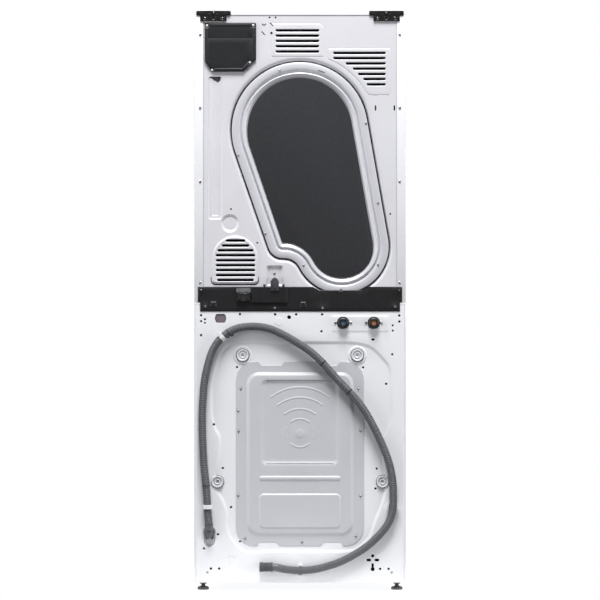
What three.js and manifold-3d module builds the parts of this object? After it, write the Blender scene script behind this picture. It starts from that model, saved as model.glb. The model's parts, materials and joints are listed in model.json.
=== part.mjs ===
// A one-piece stacked laundry tower: a front-loading washer below a dryer, 600 mm wide.
// Millimetres, +Z up, origin on the floor under the middle. The fronts face -Y, the backs +Y.
import * as THREE from "three";
import { mergeVertices } from "three/addons/utils/BufferGeometryUtils.js";
import Module from "manifold-3d";

const wasm = await Module();
wasm.setup();

// ---- Driving dimensions ----
const WIDTH = 600;
const CABINET_DEPTH = 585; // front panel face to rear sheet face
const DOOR_PROUD = 43.4; // doors stand this far out of the front
const CABINET_BOTTOM = 24;
const WASHER_HEIGHT = 793;
const DRYER_HEIGHT = 836;
const SHEET = 1.2; // cabinet steel
const PANEL = 1.7; // front panel steel
const GAP = 0.3; // between pieces that touch
const FLANGE = 25; // rear return of the dryer's sides
const FRONT_RETURN = 18;
const CORNER_RADIUS = 10;
const TOP_LIP = 17;
const WASHER_AXIS_HEIGHT = 422; // drum axis above the cabinet's bottom edge
const DRYER_AXIS_HEIGHT = 492; // drum axis above the seam
const WASHER_MOUTH = 172; // hole in the washer's front panel
const DRYER_MOUTH = 190;
const DOOR_OVERLAP = 43; // a door ring covers this much around its hole
const TUB_SIDE_CLEARANCE = 37;
const TUB_WALL = 6;
const DRUM_TUB_CLEARANCE = 16;
const DRUM_WALL = 2;
const DRYER_DRUM_CLEARANCE = 21;
const SHAFT_RADIUS = 15;
const LIFTER_HEIGHT = 46;
const HOSE_RADIUS = 11.5;
const HOSE_OFFSET = 14; // hose centre from the rear sheet
const CLIP_BORE = 12.3;
const CLIP_WALL = 2.1;
const CONTROL_HEIGHT = 130;
const CONTROL_BOTTOM = 786; // above the cabinet's bottom edge
const FOOT_INSET = 23.5;
const FOOT_RADIUS = 16.5;
const FOOT_STEM = 6;
const INLET_RADIUS = 14;
const KNOB_RADIUS = 28;
const BUTTON_RADIUS = 9;
const PULLEY_RADIUS = 25;

// ---- Places that follow from them ----
const HALF_WIDTH = WIDTH / 2;
const CLIP_OUTER = CLIP_BORE + CLIP_WALL;
const CLIP_PROUD = HOSE_OFFSET + CLIP_OUTER;
const HALF_DEPTH = (CABINET_DEPTH + DOOR_PROUD + CLIP_PROUD) / 2;
const FRONT = -HALF_DEPTH + DOOR_PROUD;
const BACK = HALF_DEPTH - CLIP_PROUD;
const FLANGE_FRONT = FRONT + PANEL + GAP;
const SEAM = CABINET_BOTTOM + WASHER_HEIGHT;
const TOP = SEAM + DRYER_HEIGHT;
const INNER_HALF = HALF_WIDTH - SHEET - GAP;
const WASHER_AXIS = CABINET_BOTTOM + WASHER_AXIS_HEIGHT;
const DRYER_AXIS = SEAM + DRYER_AXIS_HEIGHT;
const PANEL_BOTTOM = CABINET_BOTTOM + 2;
const PANEL_TOP = CABINET_BOTTOM + CONTROL_BOTTOM - 2;
const CONTROL_Z0 = CABINET_BOTTOM + CONTROL_BOTTOM;
const CONTROL_Z1 = CONTROL_Z0 + CONTROL_HEIGHT;
const CONTROL_MIDDLE = (CONTROL_Z0 + CONTROL_Z1) / 2;
const DRYER_TOP_EDGE = TOP - TOP_LIP - GAP;
const TUB_RADIUS = HALF_WIDTH - SHEET - TUB_SIDE_CLEARANCE;
const TUB_FRONT = FRONT + 70;
const TUB_BACK = BACK - 105;
const DRUM_RADIUS = TUB_RADIUS - TUB_WALL - DRUM_TUB_CLEARANCE;
const DRYER_DRUM_RADIUS = HALF_WIDTH - SHEET - DRYER_DRUM_CLEARANCE;
const HOSE_Y = BACK + HOSE_OFFSET;
const DEGREE = Math.PI / 180;

// ---- Materials ----
const finish = (color, roughness, metalness) =>
  new THREE.MeshStandardMaterial({ color, roughness, metalness });
const whitePaint = finish(0xe2e3e8, 0.45, 0.1);
const coverSteel = finish(0xbfc0c4, 0.5, 0.35);
const ringSteel = finish(0xd0d1d4, 0.4, 0.5);
const darkPad = finish(0x37383c, 0.8, 0);
const blackSteel = finish(0x26272a, 0.5, 0.2);
const blackPlastic = finish(0x303135, 0.6, 0);
const greyHose = finish(0x6d6e71, 0.75, 0);
const cuffRubber = finish(0x545559, 0.8, 0);
const whitePlastic = finish(0xf0f0ee, 0.5, 0);
const bluePlastic = finish(0x486775, 0.5, 0);
const orangePlastic = finish(0x9a6649, 0.5, 0);
const stainless = finish(0xc9cbce, 0.3, 0.9);
const zinc = finish(0xa8abb0, 0.45, 0.7);
const concrete = finish(0x8d8c88, 0.95, 0);
const greyRubber = finish(0x8a8b8e, 0.85, 0);
const chrome = finish(0xd9dadd, 0.15, 1);
const smokedGlass = new THREE.MeshStandardMaterial({
  color: 0x8f969b,
  roughness: 0.05,
  transparent: true,
  opacity: 0.35,
});
const tubPlastic = finish(0xd8d8d2, 0.6, 0);
const copperWinding = finish(0x7a5a3c, 0.6, 0.4);

// ---- Solids ----
function solid(geometry) {
  const bare = geometry.index ? geometry.toNonIndexed() : geometry.clone();
  bare.deleteAttribute("normal");
  bare.deleteAttribute("uv");
  const merged = mergeVertices(bare, 1e-3);
  const index = merged.index.array;
  const position = merged.attributes.position.array;
  const corner = (i) => new THREE.Vector3().fromArray(position, 3 * i);
  const triangles = [];
  let sixVolumes = 0;
  for (let i = 0; i < index.length; i += 3) {
    const [a, b, c] = [index[i], index[i + 1], index[i + 2]];
    if (a === b || b === c || c === a) continue;
    triangles.push([a, b, c]);
    sixVolumes += corner(a).dot(corner(b).cross(corner(c)));
  }
  const outward = sixVolumes < 0 ? triangles.map(([a, b, c]) => [a, c, b]) : triangles;
  return new wasm.Manifold(
    new wasm.Mesh({ numProp: 3, vertProperties: position, triVerts: new Uint32Array(outward.flat()) }),
  );
}

const join = (first, ...others) => others.reduce((sum, other) => sum.add(other), first);
const cut = (first, ...others) => others.reduce((rest, other) => rest.subtract(other), first);

function block(x0, x1, y0, y1, z0, z1) {
  const box = new THREE.BoxGeometry(x1 - x0, y1 - y0, z1 - z0);
  return solid(box.translate((x0 + x1) / 2, (y0 + y1) / 2, (z0 + z1) / 2));
}

const extruded = (shape, depth, curveSegments) =>
  new THREE.ExtrudeGeometry(shape, { depth, bevelEnabled: false, curveSegments });

// A shape drawn in X and Z, from y0 back to y1.
function plate(shape, y0, y1, arcSteps = 4) {
  const made = extruded(shape, y1 - y0, arcSteps);
  return solid(made.rotateX(Math.PI / 2).translate(0, y1, 0));
}

// A shape drawn in X and Y, from z0 up to z1.
function slab(shape, z0, z1, arcSteps = 4) {
  return solid(extruded(shape, z1 - z0, arcSteps).translate(0, 0, z0));
}

const rodY = (x, z, r, y0, y1, sides = 14) =>
  solid(new THREE.CylinderGeometry(r, r, y1 - y0, sides).translate(x, (y0 + y1) / 2, z));
const rodZ = (x, y, r, z0, z1, sides = 14) =>
  solid(new THREE.CylinderGeometry(r, r, z1 - z0, sides).rotateX(Math.PI / 2).translate(x, y, (z0 + z1) / 2));
const rodX = (y, z, r, x0, x1, sides = 14) =>
  solid(new THREE.CylinderGeometry(r, r, x1 - x0, sides).rotateZ(Math.PI / 2).translate((x0 + x1) / 2, y, z));

// A profile of [radius, y] pairs turned about a Y axis through x, z.
function turned(profile, x, z, sides = 30) {
  const points = profile.map(([r, y]) => new THREE.Vector2(r, y));
  return solid(new THREE.LatheGeometry(points, sides).translate(x, 0, z));
}

// The same, with the profile closed on itself.
const turnedRing = (profile, x, z, sides = 30) => turned([...profile, profile[0]], x, z, sides);

// A profile of [radius, z] pairs turned about a Z axis through x, y.
function turnedUpright(profile, x, y, sides = 20) {
  const points = profile.map(([r, z]) => new THREE.Vector2(r, z));
  return solid(new THREE.LatheGeometry(points, sides).rotateX(Math.PI / 2).translate(x, y, 0));
}

function roundedRect(x0, x1, z0, z1, r) {
  const shape = new THREE.Shape();
  shape.moveTo(x0 + r, z0);
  shape.absarc(x1 - r, z0 + r, r, -Math.PI / 2, 0);
  shape.absarc(x1 - r, z1 - r, r, 0, Math.PI / 2);
  shape.absarc(x0 + r, z1 - r, r, Math.PI / 2, Math.PI);
  shape.absarc(x0 + r, z0 + r, r, Math.PI, 1.5 * Math.PI);
  return shape;
}

const polygon = (points) => new THREE.Shape(points.map(([u, v]) => new THREE.Vector2(u, v)));

// A cabinet's plan outline: square at the front, rounded at the rear corners.
function planOutline(half, front, back, r) {
  const shape = new THREE.Shape();
  shape.moveTo(-half, front);
  shape.lineTo(half, front);
  shape.absarc(half - r, back - r, r, 0, Math.PI / 2);
  shape.absarc(-half + r, back - r, r, Math.PI / 2, Math.PI);
  return shape;
}

// A grille slot, with its top edge longer than its bottom edge.
const slotShape = (x0, x1, z, height, slant = 2) =>
  polygon([
    [x0 + slant, z - height / 2],
    [x1 - slant, z - height / 2],
    [x1, z + height / 2],
    [x0, z + height / 2],
  ]);

// ---- The group ----
const tower = new THREE.Group();
tower.name = "washer_dryer_stack";

function piece(name, shape, material) {
  const { vertProperties, triVerts } = shape.getMesh();
  const geometry = new THREE.BufferGeometry();
  geometry.setAttribute("position", new THREE.BufferAttribute(new Float32Array(vertProperties), 3));
  geometry.setIndex(new THREE.BufferAttribute(new Uint32Array(triVerts), 1));
  geometry.computeVertexNormals();
  const mesh = new THREE.Mesh(geometry, material);
  mesh.name = name;
  tower.add(mesh);
}

const sides = [
  ["left", -1],
  ["right", 1],
];

// ---- Washer cabinet: sides and back are one folded sheet ----
const COVER_HALF = 182;
const COVER_Z0 = 127.5;
const COVER_Z1 = 652;
const COVER_RADIUS = 62;
const COVER_FLANGE = 34;
const INLET_HEIGHT = 762;
const COLD_INLET_X = -122.5;
const HOT_INLET_X = -209.5;
const OUTLET_X = 257.7;
const OUTLET_HALF = 14.8;
const OUTLET_Z0 = 127;
const OUTLET_Z1 = 178;
const TRANSIT_HOLES = [
  [163, 669.5],
  [-163, 669.5],
  [234.8, 310.5],
  [-234.8, 310.5],
];
const TRANSIT_RADIUS = 9;
const BIG_CUT = 5; // how far a cutting solid runs past the face it opens

const coverOpening = (margin, y0, y1) =>
  plate(
    roundedRect(
      -COVER_HALF + COVER_FLANGE - margin,
      COVER_HALF - COVER_FLANGE + margin,
      COVER_Z0 + COVER_FLANGE - margin,
      COVER_Z1 - COVER_FLANGE + margin,
      COVER_RADIUS - COVER_FLANGE + margin,
    ),
    y0,
    y1,
  );

function washerCabinet() {
  const inner = planOutline(HALF_WIDTH - SHEET, FLANGE_FRONT - BIG_CUT, BACK - SHEET, CORNER_RADIUS - SHEET);
  const outer = planOutline(HALF_WIDTH, FLANGE_FRONT, BACK, CORNER_RADIUS);
  const shell = cut(
    slab(outer, CABINET_BOTTOM, SEAM - 1),
    slab(inner, CABINET_BOTTOM - BIG_CUT, SEAM + BIG_CUT),
    coverOpening(0, BACK - BIG_CUT, BACK + BIG_CUT),
    rodY(COLD_INLET_X, INLET_HEIGHT, INLET_RADIUS + GAP, BACK - BIG_CUT, BACK + BIG_CUT),
    rodY(HOT_INLET_X, INLET_HEIGHT, INLET_RADIUS + GAP, BACK - BIG_CUT, BACK + BIG_CUT),
    block(
      OUTLET_X - OUTLET_HALF - GAP,
      OUTLET_X + OUTLET_HALF + GAP,
      BACK - BIG_CUT,
      BACK + BIG_CUT,
      OUTLET_Z0 - GAP,
      OUTLET_Z1 + GAP,
    ),
    ...TRANSIT_HOLES.map(([x, z]) => rodY(x, z, TRANSIT_RADIUS, BACK - BIG_CUT, BACK + BIG_CUT, 12)),
  );
  const returns = sides.map(([, s]) =>
    block(
      Math.min(s * HALF_WIDTH, s * (HALF_WIDTH - FRONT_RETURN)),
      Math.max(s * HALF_WIDTH, s * (HALF_WIDTH - FRONT_RETURN)),
      FLANGE_FRONT,
      FLANGE_FRONT + SHEET,
      CABINET_BOTTOM,
      SEAM - 1,
    ),
  );
  return join(shell, ...returns);
}
piece("washer_cabinet", washerCabinet(), whitePaint);

const COVER_FIELD_INSET = 7; // from the service opening's edge
const COVER_FIELD_RISE = 0.7;
const coverFace = BACK + GAP + SHEET;
const coverOutline = roundedRect(-COVER_HALF, COVER_HALF, COVER_Z0, COVER_Z1, COVER_RADIUS);
const rearCover = join(
  plate(coverOutline, BACK + GAP, coverFace),
  coverOpening(-COVER_FIELD_INSET, BACK + GAP + SHEET / 2, coverFace + COVER_FIELD_RISE),
);
piece("washer_rear_cover", rearCover, coverSteel);

// ---- Base pan and feet ----
const BASE_Z0 = CABINET_BOTTOM + 2;
const BASE_HEIGHT = 30;
const BASE_SHEET = 1.5;
const FOOT_X = HALF_WIDTH - FOOT_INSET;
const FOOT_Y = 250;
const feet = [
  ["front_left", -FOOT_X, -FOOT_Y],
  ["front_right", FOOT_X, -FOOT_Y],
  ["rear_left", -FOOT_X, FOOT_Y],
  ["rear_right", FOOT_X, FOOT_Y],
];
const baseOutline = (inset) =>
  planOutline(
    INNER_HALF - inset,
    FLANGE_FRONT + SHEET + GAP + inset,
    BACK - SHEET - GAP - inset,
    Math.max(CORNER_RADIUS - SHEET - inset, 1),
  );
const basePan = cut(
  join(
    cut(
      slab(baseOutline(0), BASE_Z0, BASE_Z0 + BASE_HEIGHT),
      slab(baseOutline(BASE_SHEET), BASE_Z0 + BASE_SHEET, BASE_Z0 + BASE_HEIGHT + BIG_CUT),
    ),
    ...feet.map(([, x, y]) => rodZ(x, y, FOOT_STEM + 7, BASE_Z0, BASE_Z0 + BASE_HEIGHT, 12)),
  ),
  ...feet.map(([, x, y]) =>
    rodZ(x, y, FOOT_STEM + GAP, BASE_Z0 - BIG_CUT, BASE_Z0 + BASE_HEIGHT + BIG_CUT, 12),
  ),
);
piece("washer_base", basePan, zinc);

for (const [name, x, y] of feet) {
  const profile = [
    [0, 0],
    [FOOT_RADIUS, 0],
    [FOOT_RADIUS, 10],
    [FOOT_RADIUS - 4, 14],
    [8, 17],
    [8, BASE_Z0 - 2],
    [FOOT_STEM, BASE_Z0 - 2],
    [FOOT_STEM, BASE_Z0 + BASE_HEIGHT + 4],
    [0, BASE_Z0 + BASE_HEIGHT + 4],
  ];
  piece(`foot_${name}`, turnedUpright(profile, x, y, 12), zinc);
}

// ---- Washer front ----
const PUMP_X = -(HALF_WIDTH - 90);
const PUMP_Z = CABINET_BOTTOM + 68;
const FLAP_HALF = 59;
const FLAP_CLEARANCE = 1;
const FLAP_Z0 = PUMP_Z - 46;
const FLAP_Z1 = PUMP_Z + 46;
const DRAWER_X0 = -(HALF_WIDTH - 30);
const DRAWER_X1 = DRAWER_X0 + 194;
const DRAWER_Z1 = PANEL_TOP - 14;
const TUB_TO_DRAWER = 9.5;
const DRAWER_Z0 = WASHER_AXIS + Math.sqrt(TUB_RADIUS ** 2 - DRAWER_X1 ** 2) + TUB_TO_DRAWER;
const DRAWER_CLEARANCE = 2;
const frontHalf = HALF_WIDTH - GAP;

const washerFront = cut(
  block(-frontHalf, frontHalf, FRONT, FRONT + PANEL, PANEL_BOTTOM, PANEL_TOP),
  rodY(0, WASHER_AXIS, WASHER_MOUTH, FRONT - BIG_CUT, FRONT + BIG_CUT, 36),
  block(
    DRAWER_X0 - DRAWER_CLEARANCE,
    DRAWER_X1 + DRAWER_CLEARANCE,
    FRONT - BIG_CUT,
    FRONT + BIG_CUT,
    DRAWER_Z0 - DRAWER_CLEARANCE,
    DRAWER_Z1 + DRAWER_CLEARANCE,
  ),
  block(
    PUMP_X - FLAP_HALF - FLAP_CLEARANCE,
    PUMP_X + FLAP_HALF + FLAP_CLEARANCE,
    FRONT - BIG_CUT,
    FRONT + BIG_CUT,
    FLAP_Z0 - FLAP_CLEARANCE,
    FLAP_Z1 + FLAP_CLEARANCE,
  ),
);
piece("washer_front_panel", washerFront, whitePaint);
piece(
  "pump_cover",
  block(PUMP_X - FLAP_HALF, PUMP_X + FLAP_HALF, FRONT - 1.5, FRONT + 0.5, FLAP_Z0, FLAP_Z1),
  whitePaint,
);

// ---- Drain pump and its filter ----
const PUMP_RADIUS = 38;
const PUMP_BORE = 30;
const PUMP_MOUTH = FRONT + 23;
const PUMP_BACK = FRONT + 135;
const pumpHousing = join(
  turned(
    [
      [0, PUMP_BACK],
      [PUMP_RADIUS, PUMP_BACK],
      [PUMP_RADIUS, PUMP_MOUTH],
      [PUMP_BORE, PUMP_MOUTH],
      [PUMP_BORE, PUMP_BACK - 8],
      [0, PUMP_BACK - 8],
    ],
    PUMP_X,
    PUMP_Z,
    24,
  ),
  block(PUMP_X - 24, PUMP_X + 24, PUMP_BACK - 50, PUMP_BACK - 10, BASE_Z0 + BASE_SHEET + GAP, PUMP_Z - 32),
);
piece("drain_pump", pumpHousing, blackPlastic);
const pumpFilter = join(
  rodY(PUMP_X, PUMP_Z, PUMP_BORE - 1.5, PUMP_MOUTH, PUMP_MOUTH + 6, 24),
  rodY(PUMP_X, PUMP_Z, PUMP_BORE - 6, PUMP_MOUTH + 5, PUMP_MOUTH + 72, 16),
  block(PUMP_X - 20, PUMP_X + 20, PUMP_MOUTH - 9, PUMP_MOUTH + 1, PUMP_Z - 4, PUMP_Z + 4),
);
piece("pump_filter", pumpFilter, greyRubber);

// ---- Tub, drum and direct-drive motor ----
const HUB_RADIUS = 45;
const tub = turnedRing(
  [
    [TUB_RADIUS, TUB_FRONT],
    [TUB_RADIUS, TUB_BACK],
    [SHAFT_RADIUS + 2, TUB_BACK],
    [SHAFT_RADIUS + 2, TUB_BACK - 17],
    [HUB_RADIUS, TUB_BACK - 17],
    [HUB_RADIUS, TUB_BACK - TUB_WALL],
    [TUB_RADIUS - TUB_WALL, TUB_BACK - TUB_WALL],
    [TUB_RADIUS - TUB_WALL, TUB_FRONT + TUB_WALL],
    [WASHER_MOUTH + 4, TUB_FRONT + TUB_WALL],
    [WASHER_MOUTH + 4, TUB_FRONT],
  ],
  0,
  WASHER_AXIS,
);
piece("washer_tub", tub, tubPlastic);

// Three lifters spread round a drum whose inner wall has this radius.
function lifters(radius, y0, y1, z, halfBase) {
  const shape = polygon([
    [-halfBase, radius + 1],
    [-halfBase / 2, radius - LIFTER_HEIGHT],
    [halfBase / 2, radius - LIFTER_HEIGHT],
    [halfBase, radius + 1],
  ]);
  return [0, 120, 240].map((turn) => {
    const made = new THREE.ExtrudeGeometry(shape, { depth: y1 - y0, bevelEnabled: false });
    made.rotateX(Math.PI / 2).translate(0, y1, 0);
    return solid(made.rotateY(turn * DEGREE).translate(0, 0, z));
  });
}

const DRUM_FRONT = TUB_FRONT + 15;
const DRUM_BACK = TUB_BACK - 25;
const SHAFT_END = TUB_BACK + 52;
const DRUM_LIP = WASHER_MOUTH + 13;
const washerDrum = join(
  turned(
    [
      [0, SHAFT_END],
      [SHAFT_RADIUS, SHAFT_END],
      [SHAFT_RADIUS, DRUM_BACK],
      [DRUM_RADIUS - 6, DRUM_BACK],
      [DRUM_RADIUS, DRUM_BACK - 8],
      [DRUM_RADIUS, DRUM_FRONT + 4],
      [DRUM_RADIUS - 4, DRUM_FRONT],
      [DRUM_LIP, DRUM_FRONT],
      [DRUM_LIP, DRUM_FRONT + DRUM_WALL],
      [DRUM_RADIUS - 5, DRUM_FRONT + DRUM_WALL],
      [DRUM_RADIUS - DRUM_WALL, DRUM_FRONT + 5],
      [DRUM_RADIUS - DRUM_WALL, DRUM_BACK - 9],
      [DRUM_RADIUS - 7, DRUM_BACK - DRUM_WALL - 1],
      [0, DRUM_BACK - DRUM_WALL - 1],
    ],
    0,
    WASHER_AXIS,
  ),
  ...lifters(DRUM_RADIUS - DRUM_WALL, DRUM_FRONT + 40, DRUM_BACK - 30, WASHER_AXIS, 26),
);
piece("washer_drum", washerDrum, stainless);

const STATOR_RADIUS = 118;
const STATOR_DEPTH = 40;
const stator = turnedRing(
  [
    [HUB_RADIUS + 8, TUB_BACK + GAP],
    [STATOR_RADIUS, TUB_BACK + GAP],
    [STATOR_RADIUS, TUB_BACK + STATOR_DEPTH],
    [HUB_RADIUS + 8, TUB_BACK + STATOR_DEPTH],
  ],
  0,
  WASHER_AXIS,
  24,
);
piece("motor_stator", stator, copperWinding);
const ROTOR_BORE = STATOR_RADIUS + 5;
const rotor = turnedRing(
  [
    [SHAFT_RADIUS + GAP, TUB_BACK + STATOR_DEPTH + 5],
    [ROTOR_BORE, TUB_BACK + STATOR_DEPTH + 5],
    [ROTOR_BORE, TUB_BACK + 12],
    [ROTOR_BORE + 6, TUB_BACK + 12],
    [ROTOR_BORE + 6, TUB_BACK + STATOR_DEPTH + 9],
    [SHAFT_RADIUS + GAP, TUB_BACK + STATOR_DEPTH + 9],
  ],
  0,
  WASHER_AXIS,
  24,
);
piece("motor_rotor", rotor, zinc);

const gasketInner = WASHER_MOUTH - 6;
const gasket = turnedRing(
  [
    [gasketInner, FRONT + PANEL + GAP],
    [gasketInner + 14, FRONT + PANEL + GAP],
    [gasketInner + 14, FRONT + 5],
    [gasketInner + 4, FRONT + 8],
    [gasketInner + 4, FRONT + 30],
    [gasketInner + 12, FRONT + 38],
    [gasketInner + 4, FRONT + 46],
    [gasketInner + 4, TUB_FRONT - 6],
    [gasketInner + 16, TUB_FRONT - 4],
    [gasketInner + 16, TUB_FRONT - GAP],
    [gasketInner, TUB_FRONT - GAP],
  ],
  0,
  WASHER_AXIS,
);
piece("door_gasket", gasket, greyRubber);
const counterweight = turnedRing(
  [
    [WASHER_MOUTH + 18, TUB_FRONT - 30],
    [TUB_RADIUS - 12, TUB_FRONT - 30],
    [TUB_RADIUS - 12, TUB_FRONT - GAP],
    [WASHER_MOUTH + 18, TUB_FRONT - GAP],
  ],
  0,
  WASHER_AXIS,
  32,
);
piece("tub_counterweight", counterweight, concrete);

// ---- Doors: a ring, a glass dish and a pinned hinge on the left ----
const DOOR_BACK = FRONT - 2.5;
const DOOR_FRONT = FRONT - DOOR_PROUD;
const HINGE_OFFSET = 11;
const HINGE_Y = FRONT - 23;
const HINGE_HALF = 26;
const HINGE_PIN = 3;

function doorRing(inner, outer, z) {
  const hingeX = -outer - HINGE_OFFSET;
  const ring = turnedRing(
    [
      [inner, DOOR_FRONT + 12],
      [inner + 6, DOOR_FRONT + 3],
      [inner + 26, DOOR_FRONT],
      [outer - 14, DOOR_FRONT + 3],
      [outer - 3, DOOR_FRONT + 10],
      [outer, DOOR_FRONT + 18],
      [outer, DOOR_BACK],
      [inner, DOOR_BACK],
    ],
    0,
    z,
  );
  const knuckle = join(
    rodZ(hingeX, HINGE_Y, 7, z - 16, z + 16),
    block(hingeX, hingeX + 24, HINGE_Y - 5, HINGE_Y + 5, z - 16, z + 16),
  );
  const pinHole = rodZ(hingeX, HINGE_Y, HINGE_PIN + GAP, z - HINGE_HALF, z + HINGE_HALF);
  return cut(join(ring, knuckle), pinHole);
}

function doorHinge(outer, z) {
  const x = -outer - HINGE_OFFSET;
  const ear = (z0, z1) => block(x - 7, x + 7, HINGE_Y - 7, FRONT - GAP, z0, z1);
  return join(
    ear(z - HINGE_HALF, z - 17),
    ear(z + 17, z + HINGE_HALF),
    block(x - 8, x + 7, FRONT - 3, FRONT - GAP, z - HINGE_HALF, z + HINGE_HALF),
    rodZ(x, HINGE_Y, HINGE_PIN, z - HINGE_HALF, z + HINGE_HALF),
  );
}

const washerRingInner = WASHER_MOUTH - 22;
const washerRingOuter = WASHER_MOUTH + DOOR_OVERLAP;
const dishWall = 4;
piece("washer_door", doorRing(washerRingInner, washerRingOuter, WASHER_AXIS), chrome);
piece("washer_door_hinge", doorHinge(washerRingOuter, WASHER_AXIS), zinc);
const washerDish = turned(
  [
    [0, FRONT + 83],
    [60, FRONT + 81],
    [washerRingInner - 42, FRONT + 73],
    [washerRingInner - 24, FRONT + 45],
    [washerRingInner - 0.5, FRONT - 5],
    [washerRingInner - 0.5, DOOR_FRONT + 16],
    [washerRingInner - 0.5 - dishWall, DOOR_FRONT + 16],
    [washerRingInner - 0.5 - dishWall, FRONT - 6],
    [washerRingInner - 25 - dishWall, FRONT + 43],
    [washerRingInner - 44 - dishWall, FRONT + 69],
    [58, FRONT + 81 - dishWall],
    [0, FRONT + 83 - dishWall],
  ],
  0,
  WASHER_AXIS,
);
piece("washer_door_glass", washerDish, smokedGlass);

const dryerRingInner = DRYER_MOUTH - 25;
const dryerRingOuter = DRYER_MOUTH + DOOR_OVERLAP;
piece("dryer_door", doorRing(dryerRingInner, dryerRingOuter, DRYER_AXIS), chrome);
piece("dryer_door_hinge", doorHinge(dryerRingOuter, DRYER_AXIS), zinc);
const dryerDish = turned(
  [
    [0, FRONT + 17],
    [dryerRingInner - 15, FRONT + 13],
    [dryerRingInner - 0.5, FRONT - 2],
    [dryerRingInner - 0.5, DOOR_FRONT + 16],
    [dryerRingInner - 0.5 - dishWall, DOOR_FRONT + 16],
    [dryerRingInner - 0.5 - dishWall, FRONT - 4],
    [dryerRingInner - 17, FRONT + 9],
    [0, FRONT + 13],
  ],
  0,
  DRYER_AXIS,
);
piece("dryer_door_glass", dryerDish, smokedGlass);

// ---- Detergent drawer and its housing ----
const DRAWER_DEPTH = 215;
const housingX0 = DRAWER_X0 - DRAWER_CLEARANCE;
const housingX1 = DRAWER_X1 + DRAWER_CLEARANCE;
const housingZ0 = DRAWER_Z0 - DRAWER_CLEARANCE;
const housingZ1 = DRAWER_Z1 + DRAWER_CLEARANCE;
const housingFront = FLANGE_FRONT + SHEET + GAP;
const housing = cut(
  block(housingX0, housingX1, housingFront, housingFront + DRAWER_DEPTH + 10, housingZ0, housingZ1),
  block(
    housingX0 + 2,
    housingX1 - 2,
    housingFront - BIG_CUT,
    housingFront + DRAWER_DEPTH + 8,
    housingZ0 + 2,
    housingZ1 - 2,
  ),
);
piece("drawer_housing", housing, whitePlastic);
const trayX0 = DRAWER_X0 + 4;
const trayX1 = DRAWER_X1 - 4;
const trayZ0 = DRAWER_Z0 + 4;
const trayZ1 = DRAWER_Z1 - 10;
const compartment = (from, to) =>
  block(
    trayX0 + (trayX1 - trayX0) * from + 2,
    trayX0 + (trayX1 - trayX0) * to - 2,
    FRONT + 4,
    FRONT + DRAWER_DEPTH - 4,
    trayZ0 + 3,
    trayZ1 + BIG_CUT,
  );
const drawer = cut(
  join(
    block(DRAWER_X0, DRAWER_X1, FRONT - 7, FRONT + 1, DRAWER_Z0, DRAWER_Z1),
    block(trayX0, trayX1, FRONT, FRONT + DRAWER_DEPTH, trayZ0, trayZ1),
  ),
  compartment(0, 0.3),
  compartment(0.3, 0.6),
  compartment(0.6, 1),
);
piece("detergent_drawer", drawer, whitePlastic);

// ---- Control panel ----
const CONTROL_FRONT = FRONT - 15;
const CONTROL_WALL = 3;
const KNOB_X = 165;
const BUTTON_X = 92;
const WINDOW_HALF = 60;
const WINDOW_HALF_HEIGHT = 25;
const controlPanel = cut(
  block(-frontHalf, frontHalf, CONTROL_FRONT, FRONT + 15, CONTROL_Z0, CONTROL_Z1),
  block(
    -frontHalf + FRONT_RETURN + 2,
    frontHalf - FRONT_RETURN - 2,
    CONTROL_FRONT + CONTROL_WALL,
    FRONT + 15 + BIG_CUT,
    CONTROL_Z0 + CONTROL_WALL,
    CONTROL_Z1 - CONTROL_WALL,
  ),
  block(-HALF_WIDTH - BIG_CUT, -frontHalf + FRONT_RETURN + 3, FRONT + PANEL, FRONT + 20, 0, TOP),
  block(frontHalf - FRONT_RETURN - 3, HALF_WIDTH + BIG_CUT, FRONT + PANEL, FRONT + 20, 0, TOP),
  block(
    -WINDOW_HALF - GAP,
    WINDOW_HALF + GAP,
    CONTROL_FRONT - BIG_CUT,
    CONTROL_FRONT + BIG_CUT,
    CONTROL_MIDDLE - WINDOW_HALF_HEIGHT - GAP,
    CONTROL_MIDDLE + WINDOW_HALF_HEIGHT + GAP,
  ),
  ...[-1, 1].flatMap((s) => [
    rodY(s * KNOB_X, CONTROL_MIDDLE, 5, CONTROL_FRONT - BIG_CUT, CONTROL_FRONT + BIG_CUT, 14),
    rodY(s * BUTTON_X, CONTROL_MIDDLE, BUTTON_RADIUS + GAP, CONTROL_FRONT - BIG_CUT, CONTROL_FRONT + BIG_CUT),
  ]),
);
piece("control_panel", controlPanel, blackPlastic);
piece(
  "display_window",
  block(
    -WINDOW_HALF,
    WINDOW_HALF,
    CONTROL_FRONT + 0.5,
    CONTROL_FRONT + CONTROL_WALL - 0.5,
    CONTROL_MIDDLE - WINDOW_HALF_HEIGHT,
    CONTROL_MIDDLE + WINDOW_HALF_HEIGHT,
  ),
  smokedGlass,
);

function knob(x) {
  const grips = Array.from({ length: 12 }, (_, i) => {
    const angle = i * 30 * DEGREE;
    const r = KNOB_RADIUS + 1;
    return rodY(
      x + r * Math.cos(angle),
      CONTROL_MIDDLE + r * Math.sin(angle),
      2.5,
      CONTROL_FRONT - 25,
      CONTROL_FRONT - 6,
      6,
    );
  });
  const body = turned(
    [
      [0, CONTROL_FRONT - 22],
      [KNOB_RADIUS - 3, CONTROL_FRONT - 22],
      [KNOB_RADIUS, CONTROL_FRONT - 19],
      [KNOB_RADIUS, CONTROL_FRONT - 1],
      [4.6, CONTROL_FRONT - 1],
      [4.6, CONTROL_FRONT + 20],
      [0, CONTROL_FRONT + 20],
    ],
    x,
    CONTROL_MIDDLE,
    24,
  );
  return cut(body, ...grips);
}

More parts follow.
